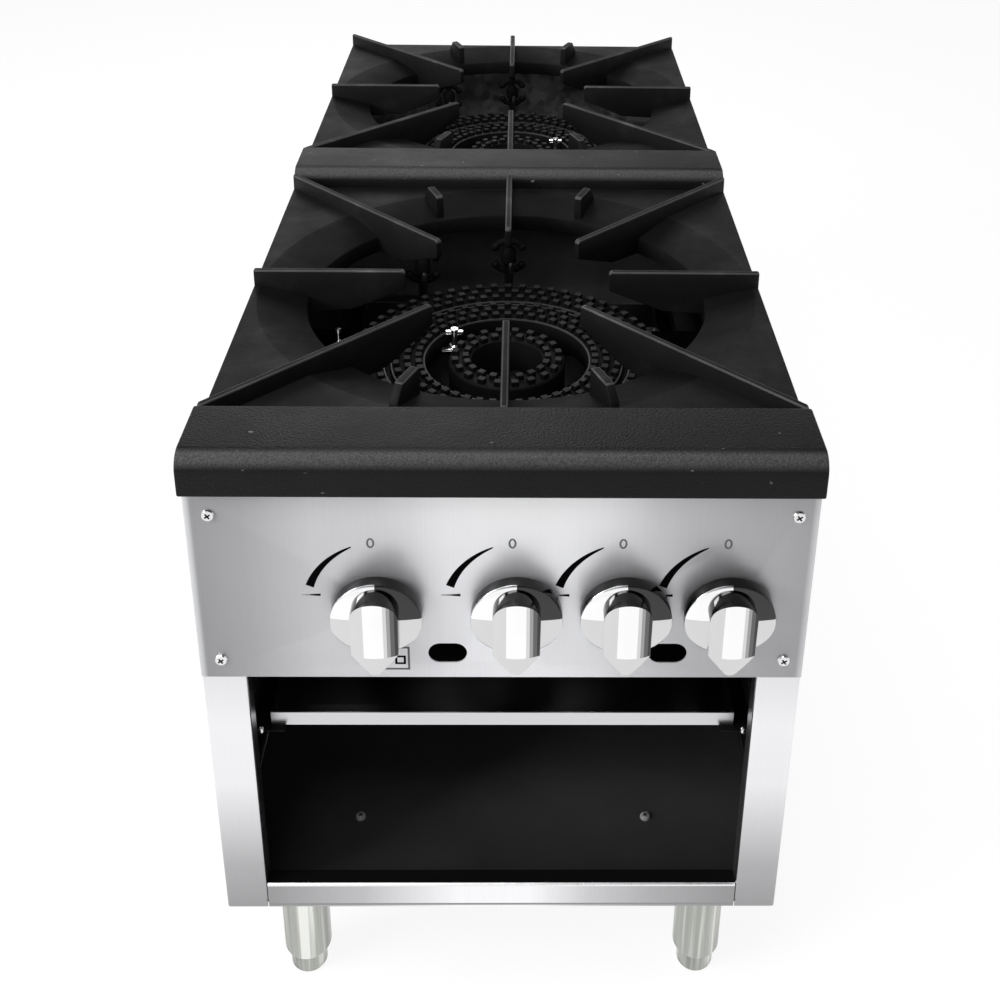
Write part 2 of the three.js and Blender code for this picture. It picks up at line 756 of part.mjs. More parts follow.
function manifold() {
  const capLength = 20;
  const [left, right] = [-132, pipe.inletX + 18];
  const body = rod(pipe.radius, left, right - 4, "x", [0, pipe.row, pipe.height], 16);
  const cap = rod(pipe.radius + 3.5, left - 4, left + capLength, "x", [0, pipe.row, pipe.height], 8);
  const elbow = box(pipe.inletX - 17, right - 1, pipe.row - 14, pipe.row + 17, pipe.height - 16, pipe.height + 16);
  return join(body, cap, elbow);
}

function inletPipe() {
  const place = [pipe.inletX, 0, pipe.height];
  return tubeLength(pipe.radius, pipe.bore, pipe.row + 17 + fitGap, pipe.inletEnd, "y", place, 18);
}

// A feed tube from a rear-section valve, under the front burner and up to its jet behind the baffle.
function feedTube(fromX, toX, runHeight, crossing) {
  const start = valve.nut + fitGap;
  const { radius, hoodPlate, hoodTip } = feed;
  const rise = hoodPlate - 18;
  const route = [
    [fromX, start, gasHeight],
    [fromX, start + 24, gasHeight],
    [fromX, start + 42, runHeight],
    [fromX, crossing, runHeight],
    [toX, crossing, runHeight],
    [toX, rise - 16, runHeight],
    [toX, rise, gasHeight],
    [toX, hoodPlate + 6, gasHeight],
  ];
  const tube = tubeAlong(route, radius, 9);
  const hood = rod(9, hoodPlate + 4, hoodTip - 8, "y", [toX, 0, gasHeight], 6);
  const jet = rod(6, hoodTip - 9, hoodTip + 2, "y", [toX, 0, gasHeight], 10);
  return join(tube, hood, jet);
}

// The cross plate behind the baffle that holds the two rear jets.
function jetPlate() {
  const { hoodPlate, radius } = feed;
  const plate = box(-baffle.half, baffle.half, hoodPlate, hoodPlate + 3, baffle.bottom, baffle.bottom + 44);
  const holes = [outerMixerX, innerMixerX].map((x) => (
    rod(radius + fitGap + 0.4, hoodPlate - 5, hoodPlate + 8, "y", [x, 0, gasHeight], 12)
  ));
  return cut(plate, ...holes);
}

function gasTrain() {
  const group = new THREE.Group();
  knobPlaces.forEach((x, i) => {
    const place = [x, 0, gasHeight];
    const number = i + 1;
    group.add(
      piece(`gas_valve_${number}`, gasValve(i < 2), "brass", place),
      piece(`valve_stem_${number}`, valveStem(), "brass", place),
      piece(`knob_${number}`, controlKnob(), "chrome", place),
    );
  });
  group.add(
    piece("gas_manifold", manifold(), "blackPipe"),
    piece("gas_inlet_pipe", inletPipe(), "blackPipe"),
    piece("rear_inner_feed_tube", feedTube(knobPlaces[2], innerMixerX, feed.upper, 505), "galvanised"),
    piece("rear_outer_feed_tube", feedTube(knobPlaces[3], outerMixerX, feed.lower, 530), "galvanised"),
    piece("rear_jet_plate", jetPlate(), "galvanised"),
  );
  return group;
}

// ---- The whole range ----

const range = new THREE.Group();
range.add(cabinet(), legs(), section("front"), section("rear"), gasTrain());

// The origin is on the floor under the middle of the range, from its knobs to its gas inlet.
range.position.set(0, -(knob.gripFront + pipe.inletEnd) / 2, 0);
const model = new THREE.Group();
model.add(range);

export default model;
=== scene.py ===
import math

import bmesh
import bpy
from mathutils import Matrix, Vector


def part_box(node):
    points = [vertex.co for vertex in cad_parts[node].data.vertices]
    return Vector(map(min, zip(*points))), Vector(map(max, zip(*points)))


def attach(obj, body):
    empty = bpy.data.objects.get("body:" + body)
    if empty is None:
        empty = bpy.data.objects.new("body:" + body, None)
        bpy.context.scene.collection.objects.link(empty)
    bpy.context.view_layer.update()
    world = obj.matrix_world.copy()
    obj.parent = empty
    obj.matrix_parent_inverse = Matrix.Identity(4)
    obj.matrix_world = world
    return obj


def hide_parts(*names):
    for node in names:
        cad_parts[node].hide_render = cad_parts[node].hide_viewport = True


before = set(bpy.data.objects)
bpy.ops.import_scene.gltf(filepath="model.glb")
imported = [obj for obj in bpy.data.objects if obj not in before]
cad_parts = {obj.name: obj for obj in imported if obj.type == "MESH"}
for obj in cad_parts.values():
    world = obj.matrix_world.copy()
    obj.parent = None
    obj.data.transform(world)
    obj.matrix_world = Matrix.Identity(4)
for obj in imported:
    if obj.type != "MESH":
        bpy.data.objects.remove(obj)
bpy.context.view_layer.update()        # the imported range; every CAD node sits where it belongs

# Pieces are modelled in millimetres. Y runs back from the face of the control panel, Z up from the floor.
mm = 0.001
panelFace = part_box("control_panel")[0].y
frontOrigin = Vector((0, panelFace, 0))
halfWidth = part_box("control_panel")[1].x / mm
sectionPitch = (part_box("middle_ledge")[0].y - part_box("front_ledge")[0].y) / mm


def middleOf(node):
    low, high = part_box(node)
    return (low + high) / 2


# Mesh helpers

def tidy(bm):
    bmesh.ops.remove_doubles(bm, verts=bm.verts, dist=0.002)
    bmesh.ops.recalc_face_normals(bm, faces=bm.faces)
    return bm


def lathe(profile, steps=96, closed=False):
    # turns (radius, height) points about Z; closed joins the last point to the first, for a ring
    bm = bmesh.new()
    corners = [bm.verts.new((radius, 0, height)) for radius, height in profile]
    pairs = list(zip(corners, corners[1:]))
    if closed:
        pairs.append((corners[-1], corners[0]))
    line = [bm.edges.new(pair) for pair in pairs]
    bmesh.ops.spin(bm, geom=corners + line, cent=(0, 0, 0), axis=(0, 0, 1),
                   angle=math.tau, steps=steps, use_merge=True)
    return tidy(bm)


def block(width, depth, height, centre=(0, 0, 0), rounding=0, segments=2):
    bm = bmesh.new()
    bmesh.ops.create_cube(bm, size=1)
    bmesh.ops.scale(bm, verts=bm.verts, vec=(width, depth, height))
    bmesh.ops.translate(bm, verts=bm.verts, vec=centre)
    if rounding:
        soften(bm, rounding, segments)
    return bm


def prism(outline, axis, start, end):
    # pushes a closed outline of (u, v) points along X, Y or Z
    places = {
        "X": lambda u, v: (start, u, v),
        "Y": lambda u, v: (u, start, v),
        "Z": lambda u, v: (u, v, start),
    }
    step = {"X": (1, 0, 0), "Y": (0, 1, 0), "Z": (0, 0, 1)}[axis]
    bm = bmesh.new()
    bm.faces.new([bm.verts.new(places[axis](u, v)) for u, v in outline])
    pushOut(bm, Vector(step) * (end - start))
    return tidy(bm)


def pushOut(bm, reach):
    # gives open faces their thickness
    grown = bmesh.ops.extrude_face_region(bm, geom=bm.faces[:])
    lifted = [item for item in grown["geom"] if isinstance(item, bmesh.types.BMVert)]
    bmesh.ops.translate(bm, verts=lifted, vec=reach)


def soften(bm, width, segments=2, angle=35, only=None):
    limit = math.radians(angle)
    sharp = [edge for edge in bm.edges if edge.is_manifold and edge.calc_face_angle(0) > limit]
    if only:
        sharp = [edge for edge in sharp if only(edge)]
    return bmesh.ops.bevel(bm, geom=sharp, offset=width, offset_type="OFFSET", affect="EDGES",
                           segments=segments, profile=0.5, material=-1, clamp_overlap=True)


def wholeOf(bm):
    return bm.verts[:] + bm.edges[:] + bm.faces[:]


def cutAway(bm, point, normal):
    # removes what lies past a plane and closes the cut
    cut = bmesh.ops.bisect_plane(bm, geom=wholeOf(bm), dist=0.0001, plane_co=point, plane_no=normal,
                                 clear_outer=True)
    rim = [item for item in cut["geom_cut"] if isinstance(item, bmesh.types.BMEdge)]
    if rim:
        bmesh.ops.holes_fill(bm, edges=rim, sides=0)


def scored(bm, point, normal):
    # draws an edge line round the mesh where a plane passes, and keeps both sides
    bmesh.ops.bisect_plane(bm, geom=wholeOf(bm), dist=0.001, plane_co=point, plane_no=normal)


def turned(bm, angle, axis="Z"):
    bmesh.ops.rotate(bm, verts=bm.verts, cent=(0, 0, 0), matrix=Matrix.Rotation(angle, 3, axis))
    return bm


def moved(bm, place):
    bmesh.ops.translate(bm, verts=bm.verts, vec=place)
    return bm


def joined(*parts):
    # each part is a bmesh, or a bmesh with the number of its material
    whole = bmesh.new()
    for part in parts:
        bm, number = part if isinstance(part, tuple) else (part, None)
        if number is not None:
            for face in bm.faces:
                face.material_index = number
        spare = bpy.data.meshes.new("spare")
        bm.to_mesh(spare)
        bm.free()
        whole.from_mesh(spare)
        bpy.data.meshes.remove(spare)
    return whole


def roundedCorners(corners, radii, steps=8):
    # an outline whose corners turn on arcs; a radius of 0 keeps a corner sharp
    points = []
    count = len(corners)
    for i, (corner, radius) in enumerate(zip(corners, radii)):
        here = Vector(corner)
        if not radius:
            points.append(tuple(here))
            continue
        back = (Vector(corners[i - 1]) - here).normalized()
        on = (Vector(corners[(i + 1) % count]) - here).normalized()
        opening = back.angle(on)
        start = here + back * radius / math.tan(opening / 2)
        centre = here + (back + on).normalized() * radius / math.sin(opening / 2)
        turn = math.copysign(math.pi - opening, -back.cross(on))
        for k in range(steps + 1):
            arm = Matrix.Rotation(turn * k / steps, 2) @ (start - centre)
            points.append(tuple(centre + arm))
    return points


def tubeThrough(points, radius, bend, sides=16):
    # a round tube along straight runs with rounded corners
    route = [Vector(point) for point in points]
    stops = [route[0]]
    for before, corner, after in zip(route, route[1:], route[2:]):
        start = corner + (before - corner).normalized() * bend
        end = corner + (after - corner).normalized() * bend
        for k in range(9):
            t = k / 8
            stops.append(start * (1 - t) ** 2 + corner * 2 * t * (1 - t) + end * t ** 2)
    stops.append(route[-1])
    curve = bpy.data.curves.new("route", "CURVE")
    curve.dimensions = "3D"
    curve.bevel_depth = radius
    curve.bevel_resolution = sides // 4
    curve.use_fill_caps = True
    spline = curve.splines.new("POLY")
    spline.points.add(len(stops) - 1)
    for point, stop in zip(spline.points, stops):
        point.co = (*stop, 1)
    holder = bpy.data.objects.new("route", curve)
    bpy.context.scene.collection.objects.link(holder)
    bpy.context.view_layer.update()
    mesh = bpy.data.meshes.new_from_object(holder.evaluated_get(bpy.context.evaluated_depsgraph_get()))
    bm = bmesh.new()
    bm.from_mesh(mesh)
    bpy.data.objects.remove(holder)
    bpy.data.curves.remove(curve)
    bpy.data.meshes.remove(mesh)
    return tidy(bm)


def finishPiece(bm, name, finishes, place=frontOrigin, replaces=(), body="range_body",
                smoothAngle=32):
    # takes a mesh in millimetres to its place, dresses it and lets it ride a body
    bm.transform(Matrix.Translation(place) @ Matrix.Scale(mm, 4))
    limit = math.radians(smoothAngle)
    for face in bm.faces:
        face.smooth = True
    for edge in bm.edges:
        edge.smooth = edge.calc_face_angle(math.pi) < limit
    mesh = bpy.data.meshes.new(name)
    bm.to_mesh(mesh)
    bm.free()
    for finish in finishes:
        mesh.materials.append(finish)
    piece = bpy.data.objects.new(name, mesh)
    bpy.context.scene.collection.objects.link(piece)
    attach(piece, body)
    if replaces:
        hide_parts(*replaces)
    return piece


# Material helpers

def wire(tree, kind, sockets, **settings):
    made = tree.nodes.new(kind)
    for key, value in settings.items():
        setattr(made, key, value)
    for key, value in sockets.items():
        if isinstance(value, bpy.types.NodeSocket):
            tree.links.new(value, made.inputs[key])
        else:
            made.inputs[key].default_value = value
    return made


def grey(value):
    return (value, value, value, 1)


def rampOf(tree, factor, stops):
    made = wire(tree, "ShaderNodeValToRGB", {"Fac": factor})
    band = made.color_ramp.elements
    for element, (place, tone) in zip(band, (stops[0], stops[-1])):
        element.position = place
        element.color = tone
    for place, tone in stops[1:-1]:
        band.new(place).color = tone
    return made.outputs["Color"]


def greyRamp(tree, factor, *stops):
    return rampOf(tree, factor, [(place, grey(value)) for place, value in stops])


def noiseOf(tree, scale, stretch=(1, 1, 1), detail=3, roughness=0.5):
    coords = wire(tree, "ShaderNodeTexCoord", {}).outputs["Object"]
    mapped = wire(tree, "ShaderNodeMapping", {"Vector": coords, "Scale": stretch}).outputs[0]
    made = wire(tree, "ShaderNodeTexNoise", {"Vector": mapped, "Scale": scale, "Detail": detail,
                                             "Roughness": roughness})
    return made.outputs[0]


def objectAxis(tree, axis):
    coords = wire(tree, "ShaderNodeTexCoord", {}).outputs["Object"]
    return wire(tree, "ShaderNodeSeparateXYZ", {0: coords}).outputs[axis]


def placeAlong(tree, axis, low, high):
    # 0 to 1 along one axis of the object, between two places in metres
    return wire(tree, "ShaderNodeMapRange", {0: objectAxis(tree, axis), 1: low, 2: high}).outputs[0]


def beyond(tree, axis, place):
    # 1 past a place on one axis of the object in metres, 0 before it
    return math2(tree, "GREATER_THAN", objectAxis(tree, axis), place)


def between(tree, axis, low, high):
    return math2(tree, "SUBTRACT", beyond(tree, axis, low), beyond(tree, axis, high))


def mixTones(tree, factor, first, second, blend="MIX"):
    return wire(tree, "ShaderNodeMix", {0: factor, 6: first, 7: second}, data_type="RGBA",
                blend_type=blend).outputs[2]


def math2(tree, operation, first, second):
    return wire(tree, "ShaderNodeMath", {0: first, 1: second}, operation=operation).outputs[0]


def bumpOf(tree, height, strength, distance, under=None):
    sockets = {"Height": height, "Strength": strength, "Distance": distance}
    if under:
        sockets["Normal"] = under
    return wire(tree, "ShaderNodeBump", sockets).outputs[0]


def startFinish(name, metallic=0.0, roughness=0.5, specular=0.5):
    finish = bpy.data.materials.new(name)
    finish.use_nodes = True
    tree = finish.node_tree
    shader = tree.nodes["Principled BSDF"]
    shader.inputs["Metallic"].default_value = metallic
    shader.inputs["Roughness"].default_value = roughness
    shader.inputs["Specular IOR Level"].default_value = specular
    return finish, tree, shader


def feed(tree, shader, **sockets):
    names = {"colour": "Base Color", "rough": "Roughness", "normal": "Normal", "metal": "Metallic"}
    for key, value in sockets.items():
        tree.links.new(value, shader.inputs[names[key]])


# Stainless steel. The sheets are brushed along their length and carry a wide soft sheen, painted into their
# colour as painted reflection.

def steelFinish(name, grainAxis, tone, roughness=0.3, metallic=1.0):
    # tone is a function that gives the colour socket before the brushing is laid over it
    finish, tree, shader = startFinish(name, metallic=metallic, roughness=roughness, specular=0.0)
    stretch = {"X": (3, 60, 900), "Y": (60, 3, 900), "Z": (900, 60, 3)}[grainAxis]
    grain = noiseOf(tree, 1.0, stretch, detail=4, roughness=0.6)
    cloud = noiseOf(tree, 5.0, detail=2)
    brushed = greyRamp(tree, grain, (0.3, 0.965), (0.7, 1.0))
    clouded = greyRamp(tree, cloud, (0.3, 0.97), (0.7, 1.0))
    colour = mixTones(tree, 1.0, mixTones(tree, 1.0, tone(tree), brushed, "MULTIPLY"), clouded, "MULTIPLY")
    rough = greyRamp(tree, grain, (0.25, roughness - 0.02), (0.75, roughness + 0.03))
    feed(tree, shader, colour=colour, rough=rough, normal=bumpOf(tree, grain, 0.02, 0.0002))
    return finish


def steelTone(value, tint=0.02):
    return (value, value, value * (1 + tint), 1)


# Heights and depths in metres where the look of a sheet changes, mostly its painted light and shade
steelSpec = {
    "paintedGlowHeights": (0.46, 0.54),                   # painted highlight: the middle of the panel brightens upwards
    "hemShadeHeights": (0.1266, 0.1288), "crestHighlightHeight": 0.1482, "foldDepth": 0.0034,
    "lipShadeTop": 0.2772, "glintHeights": (0.2782, 0.2803), "lipDepth": 0.0012,
    "postHeights": (0.125, 0.373), "postDepth": 0.0045, "wallHalf": 0.1962,
}


def panelReflectionTone(tree):
    # painted reflection: a pale folded edge, then grey, brightest past the middle towards the top, and grey
    # again
    along = placeAlong(tree, "X", -halfWidth * mm, halfWidth * mm)
    stops = [(0.0, 0.85), (0.009, 0.55), (0.012, 0.36), (0.09, 0.45), (0.155, 0.58), (0.2, 0.67),
             (0.35, 0.77), (0.41, 0.92), (0.52, 1.0), (0.6, 1.0), (0.66, 0.9), (0.73, 0.72), (0.8, 0.61),
             (0.9, 0.52), (0.988, 0.48), (0.991, 0.6), (1.0, 0.85)]
    base = rampOf(tree, along, [(place, steelTone(value, 0.03)) for place, value in stops])
    upward = placeAlong(tree, "Z", *steelSpec["paintedGlowHeights"])
    middle = greyRamp(tree, along, (0.3, 0), (0.48, 0.8), (0.58, 0.8), (0.75, 0))
    return mixTones(tree, math2(tree, "MULTIPLY", upward, middle), base, steelTone(1.0, 0))


def railReflectionTone(tree):
    # painted reflection across the rail, painted shade along its hem, a painted highlight along its crest,
    # and its folded top painted near black as shade
    along = placeAlong(tree, "X", -halfWidth * mm, halfWidth * mm)
    stops = [(0.08, 0.34), (0.25, 0.55), (0.42, 0.98), (0.55, 0.98), (0.66, 0.62), (0.78, 0.44),
             (0.93, 0.32)]
    face = rampOf(tree, along, [(place, steelTone(value, 0.02)) for place, value in stops])
    face = mixTones(tree, between(tree, "Z", *steelSpec["hemShadeHeights"]), face, steelTone(0.3))
    face = mixTones(tree, beyond(tree, "Z", steelSpec["crestHighlightHeight"]), face, steelTone(0.92))
    return mixTones(tree, railShade(tree), face, grey(0.006))


def railShade(tree):
    # 1 on the folded top of the rail behind its painted bright front edge; the top is painted dark as the
    # cabinet's shade
    return beyond(tree, "Y", panelFace + steelSpec["foldDepth"])


def trayLightAndShade(tree):
    # a lip with a painted glint in front of a pan painted dark as shade, and painted shade along the lip's
    # lower edge
    behind = beyond(tree, "Y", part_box("crumb_tray")[0].y + steelSpec["lipDepth"])
    lip = mixTones(tree, beyond(tree, "Z", steelSpec["lipShadeTop"]), grey(0.02), steelTone(0.68))
    lip = mixTones(tree, between(tree, "Z", *steelSpec["glintHeights"]), lip, steelTone(0.95))
    return mixTones(tree, behind, lip, grey(0.05))


def sideReflectionTone(tree):
    # the post carries a painted reflection that greys downwards and a flat grey behind its face; the wall
    # inside the cabinet is dark
    height = placeAlong(tree, "Z", *steelSpec["postHeights"])
    post = rampOf(tree, height, [(0.0, steelTone(0.36)), (0.2, steelTone(0.46)), (0.55, steelTone(0.88)),
                                 (0.8, steelTone(0.9)), (1.0, steelTone(0.8))])
    across = math2(tree, "ABSOLUTE", objectAxis(tree, "X"), 0.0)
    behind = beyond(tree, "Y", panelFace + steelSpec["postDepth"])
    inner = math2(tree, "LESS_THAN", across, (halfWidth - 0.6) * mm)
    outside = math2(tree, "GREATER_THAN", across, steelSpec["wallHalf"])
    dark = math2(tree, "MULTIPLY", math2(tree, "MULTIPLY", behind, inner), outside)
    return mixTones(tree, dark, mixTones(tree, behind, post, steelTone(0.62)), grey(0.03))


def paintFinish(name, base, wearAndHighlight, roughness, speckle, crest=None):
    # black stove paint over sheet: fine hammered speckle, soft smudges, a few worn spots;
    # crest gives two heights in metres between which the bend carries a speckled painted highlight
    finish, tree, shader = startFinish(name, roughness=roughness, specular=0.12)
    fine = noiseOf(tree, 520, detail=2, roughness=0.6)
    smudge = noiseOf(tree, 14, (1, 1.6, 1), detail=5, roughness=0.62)
    chips = noiseOf(tree, 210, (0.5, 1, 1), detail=1, roughness=0.5)
    colour = greyRamp(tree, smudge, (0.35, base), (0.62, base * 1.35), (0.8, wearAndHighlight))
    chipped = greyRamp(tree, chips, (0.77, 0), (0.79, 1))
    colour = mixTones(tree, chipped, colour, grey(wearAndHighlight * 9))
    if crest:
        bend = greyRamp(tree, placeAlong(tree, "Z", *crest), (0.0, 0), (0.45, 0.8), (0.85, 0.9), (1.0, 0))
        grain = greyRamp(tree, noiseOf(tree, 900, detail=1), (0.3, 0.45), (0.7, 1.0))
        paintedHighlight = mixTones(tree, 1.0, grain, grey(wearAndHighlight * 7), "MULTIPLY")
        colour = mixTones(tree, bend, colour, paintedHighlight)
    rough = greyRamp(tree, smudge, (0.3, roughness - 0.08), (0.7, roughness + 0.1))
    feed(tree, shader, colour=colour, rough=rough, normal=bumpOf(tree, fine, speckle, 0.0011))
    return finish


def castFinish(name, base, worn, roughness=0.62, metallic=0.25, grit=0.5):
    # sand-cast iron: coarse grit over slow mottling
    finish, tree, shader = startFinish(name, metallic=metallic, roughness=roughness, specular=0.12)
    coarse = noiseOf(tree, 420, detail=4, roughness=0.65)
    mottle = noiseOf(tree, 22, detail=5, roughness=0.6)
    wash = noiseOf(tree, 4.5, detail=2)
    colour = greyRamp(tree, mottle, (0.3, base * 0.8), (0.55, base), (0.78, worn))
    washed = greyRamp(tree, wash, (0.3, 0.8), (0.7, 1.0))
    colour = mixTones(tree, 1.0, colour, washed, "MULTIPLY")
    rough = greyRamp(tree, mottle, (0.3, roughness + 0.1), (0.75, roughness - 0.08))
    feed(tree, shader, colour=colour, rough=rough, normal=bumpOf(tree, coarse, grit, 0.0007))
    return finish


def zincFinish(name, low, high, roughness=0.42):
    # hot-dipped spangle
    finish, tree, shader = startFinish(name, metallic=1.0, roughness=roughness)
    coords = wire(tree, "ShaderNodeTexCoord", {}).outputs["Object"]
    spangle = wire(tree, "ShaderNodeTexVoronoi", {"Vector": coords, "Scale": 110}).outputs["Color"]
    flat = wire(tree, "ShaderNodeRGBToBW", {0: spangle}).outputs[0]
    colour = rampOf(tree, flat, [(0.2, steelTone(low)), (0.8, steelTone(high))])
    rough = greyRamp(tree, flat, (0.2, roughness - 0.08), (0.8, roughness + 0.1))
    feed(tree, shader, colour=colour, rough=rough, normal=bumpOf(tree, noiseOf(tree, 500), 0.1, 0.0003))
    return finish


def chromeFinish(name, value, roughness, tint=0.01):
    finish, tree, shader = startFinish(name, metallic=1.0, roughness=roughness)
    haze = noiseOf(tree, 30, detail=4)
    colour = rampOf(tree, haze, [(0.3, steelTone(value * 0.97, tint)), (0.7, steelTone(value, tint))])
    rough = greyRamp(tree, haze, (0.3, roughness), (0.8, roughness + 0.04))
    feed(tree, shader, colour=colour, rough=rough, normal=bumpOf(tree, noiseOf(tree, 60), 0.03, 0.0004))
    return finish


def sheetFinish(name, base, roughness, metallic=0.2, specular=0.2):
    # dark sheet of the burner well and the cabinet floor
    finish, tree, shader = startFinish(name, metallic=metallic, roughness=roughness, specular=specular)
    stain = noiseOf(tree, 9, detail=6, roughness=0.6)
    scratch = noiseOf(tree, 1.0, (12, 700, 700), detail=2)
    colour = greyRamp(tree, stain, (0.3, base * 0.75), (0.75, base * 1.3))
    rough = greyRamp(tree, scratch, (0.3, roughness - 0.06), (0.7, roughness + 0.08))
    feed(tree, shader, colour=colour, rough=rough, normal=bumpOf(tree, scratch, 0.08, 0.0003))
    return finish


def cabinetFinish(name):
    # dark sheet with painted light that grows towards the back of the cabinet
    finish, tree, shader = startFinish(name, metallic=0.1, roughness=0.5, specular=0.15)
    depth = placeAlong(tree, "Y", panelFace, panelFace + 0.5)
    paintedLight = greyRamp(tree, depth, (0.0, 0.016), (0.12, 0.04), (0.3, 0.1), (0.6, 0.22), (1.0, 0.3))
    stain = greyRamp(tree, noiseOf(tree, 9, detail=6, roughness=0.6), (0.3, 0.8), (0.75, 1.15))
    rough = greyRamp(tree, noiseOf(tree, 30), (0.3, 0.44), (0.7, 0.58))
    feed(tree, shader, colour=mixTones(tree, 1.0, paintedLight, stain, "MULTIPLY"), rough=rough)
    return finish


def legFinish(name):
    # nickel-plated tube with broad and fine streaks drawn along it
    finish, tree, shader = startFinish(name, metallic=1.0, roughness=0.26)
    streak = noiseOf(tree, 1.0, (95, 95, 1.5), detail=4, roughness=0.55)
    colour = rampOf(tree, streak, [(0.32, (0.13, 0.133, 0.125, 1)), (0.46, (0.34, 0.35, 0.325, 1)),
                                   (0.56, (0.42, 0.43, 0.4, 1)), (0.66, (0.88, 0.89, 0.85, 1))])
    rough = greyRamp(tree, streak, (0.3, 0.2), (0.7, 0.32))
    feed(tree, shader, colour=colour, rough=rough, normal=bumpOf(tree, streak, 0.15, 0.0004))
    return finish


def brassFinish(name):
    finish, tree, shader = startFinish(name, metallic=1.0, roughness=0.32)
    tarnish = noiseOf(tree, 60, detail=5, roughness=0.6)
    colour = rampOf(tree, tarnish, [(0.3, (0.3, 0.19, 0.06, 1)), (0.7, (0.62, 0.43, 0.16, 1))])
    rough = greyRamp(tree, tarnish, (0.3, 0.42), (0.7, 0.26))
    feed(tree, shader, colour=colour, rough=rough)
    return finish


def inkFinish(name, base):
    finish, tree, shader = startFinish(name, roughness=0.9, specular=0.05)
    colour = greyRamp(tree, noiseOf(tree, 300, detail=2), (0.3, base), (0.7, base * 1.2))
    feed(tree, shader, colour=colour)
    return finish


panelSteel = steelFinish("panelSteel", "Z", panelReflectionTone, 0.4, 0.55)
railSteel = steelFinish("railSteel", "Z", railReflectionTone, 0.28)
dullTop = math2(railSteel.node_tree, "SUBTRACT", 1.0, railShade(railSteel.node_tree))
feed(railSteel.node_tree, railSteel.node_tree.nodes["Principled BSDF"], metal=dullTop)
sideSteel = steelFinish("sideSteel", "Z", sideReflectionTone, 0.3)
traySteel = steelFinish("traySteel", "X", trayLightAndShade, 0.3)
# the bend of each ledge's nose carries a painted highlight between these heights
ledgeHighlightBand = (0.568, 0.5788)
ledgePaint = paintFinish("ledgePaint", 0.008, 0.016, 0.4, 0.6, ledgeHighlightBand)
grateIron = castFinish("grateIron", 0.012, 0.022, 0.56)
dishIron = castFinish("dishIron", 0.006, 0.013, 0.6)
# fin tops: worn pale, and lighter still as a painted highlight
grateWornHighlight = castFinish("grateWornHighlight", 0.09, 0.2, 0.5, 0.5)
burnerIron = castFinish("burnerIron", 0.009, 0.016, 0.62)
nubTopHighlight = castFinish("nubTopHighlight", 0.045, 0.085, 0.6, 0.3)
rimHighlight = castFinish("rimHighlight", 0.12, 0.2, 0.5, 0.5)
zincSheet = zincFinish("zincSheet", 0.42, 0.62)
wellSheet = sheetFinish("wellSheet", 0.05, 0.5)
# the baffle is painted lighter than the well sheet, as painted light
baffleSheetLit = sheetFinish("baffleSheetLit", 0.16, 0.5)
strapSheet = sheetFinish("strapSheet", 0.006, 0.6, 0.0, 0.03)
cabinetSheet = cabinetFinish("cabinetSheet")
runnerSheet = sheetFinish("runnerSheet", 0.012, 0.5, 0.1, 0.1)
# lit and shaded copies of chrome, which paint reflections onto the knobs
chromePlate = chromeFinish("chromePlate", 0.96, 0.05)
chromeShade = chromeFinish("chromeShade", 0.06, 0.12)
chromePaleReflection = chromeFinish("chromePaleReflection", 0.68, 0.14)
chromeMildReflection = chromeFinish("chromeMildReflection", 0.36, 0.14)
chromeDimReflection = chromeFinish("chromeDimReflection", 0.14, 0.14)
screwSteel = chromeFinish("screwSteel", 0.8, 0.2)
brightFitting = chromeFinish("brightFitting", 0.95, 0.2)
pilotSteel = chromeFinish("pilotSteel", 0.1, 0.35)
# the floor bolts are painted pale as a painted glint
boltPaleGlint = castFinish("boltPaleGlint", 0.6, 0.8, 0.35, 0.2, 0.05)
legPlated = legFinish("legPlated")
valveBrass = brassFinish("valveBrass")
pipePaint = paintFinish("pipePaint", 0.02, 0.04, 0.5, 0.4)
markInk = inkFinish("markInk", 0.0006)
numberInk = inkFinish("numberInk", 0.17)
faintInk = inkFinish("faintInk", 0.4)
# painted shade for the recesses of screw heads
recessShade = inkFinish("recessShade", 0.03)
print("finishes made")


# CAD nodes that keep their own mesh

keptNodes = {
    "left_side_panel": sideSteel, "right_side_panel": sideSteel, "back_panel": zincSheet,
    "floor_panel": cabinetSheet, "front_bottom_rail": railSteel, "rear_grate_rest": zincSheet,
    "left_liner": wellSheet, "right_liner": wellSheet, "left_tray_runner": runnerSheet,
    "right_tray_runner": runnerSheet, "middle_baffle": baffleSheetLit, "crumb_tray": traySteel,
    "rear_jet_plate": zincSheet, "gas_manifold": pipePaint, "gas_inlet_pipe": pipePaint,
    "rear_inner_feed_tube": zincSheet, "rear_outer_feed_tube": zincSheet,
}
for number in range(1, 5):
    keptNodes[f"gas_valve_{number}"] = valveBrass
    keptNodes[f"valve_stem_{number}"] = valveBrass
for end in ("front", "rear"):
    keptNodes[f"{end}_burner_bearer"] = strapSheet
    keptNodes[f"{end}_pilot_rail"] = strapSheet
    keptNodes[f"{end}_outer_air_shutter"] = zincSheet
    keptNodes[f"{end}_inner_air_shutter"] = zincSheet

for name, finish in keptNodes.items():
    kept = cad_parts[name]
    kept.data.materials.clear()
    kept.data.materials.append(finish)
print("kept nodes finished")


# Ledges

ledgeSpec = {"front": -12, "back": 56.2, "bottom": 545.4, "top": 579, "nose": 15, "toe": 1.6, "heel": 3,
             "endRound": 4.5}


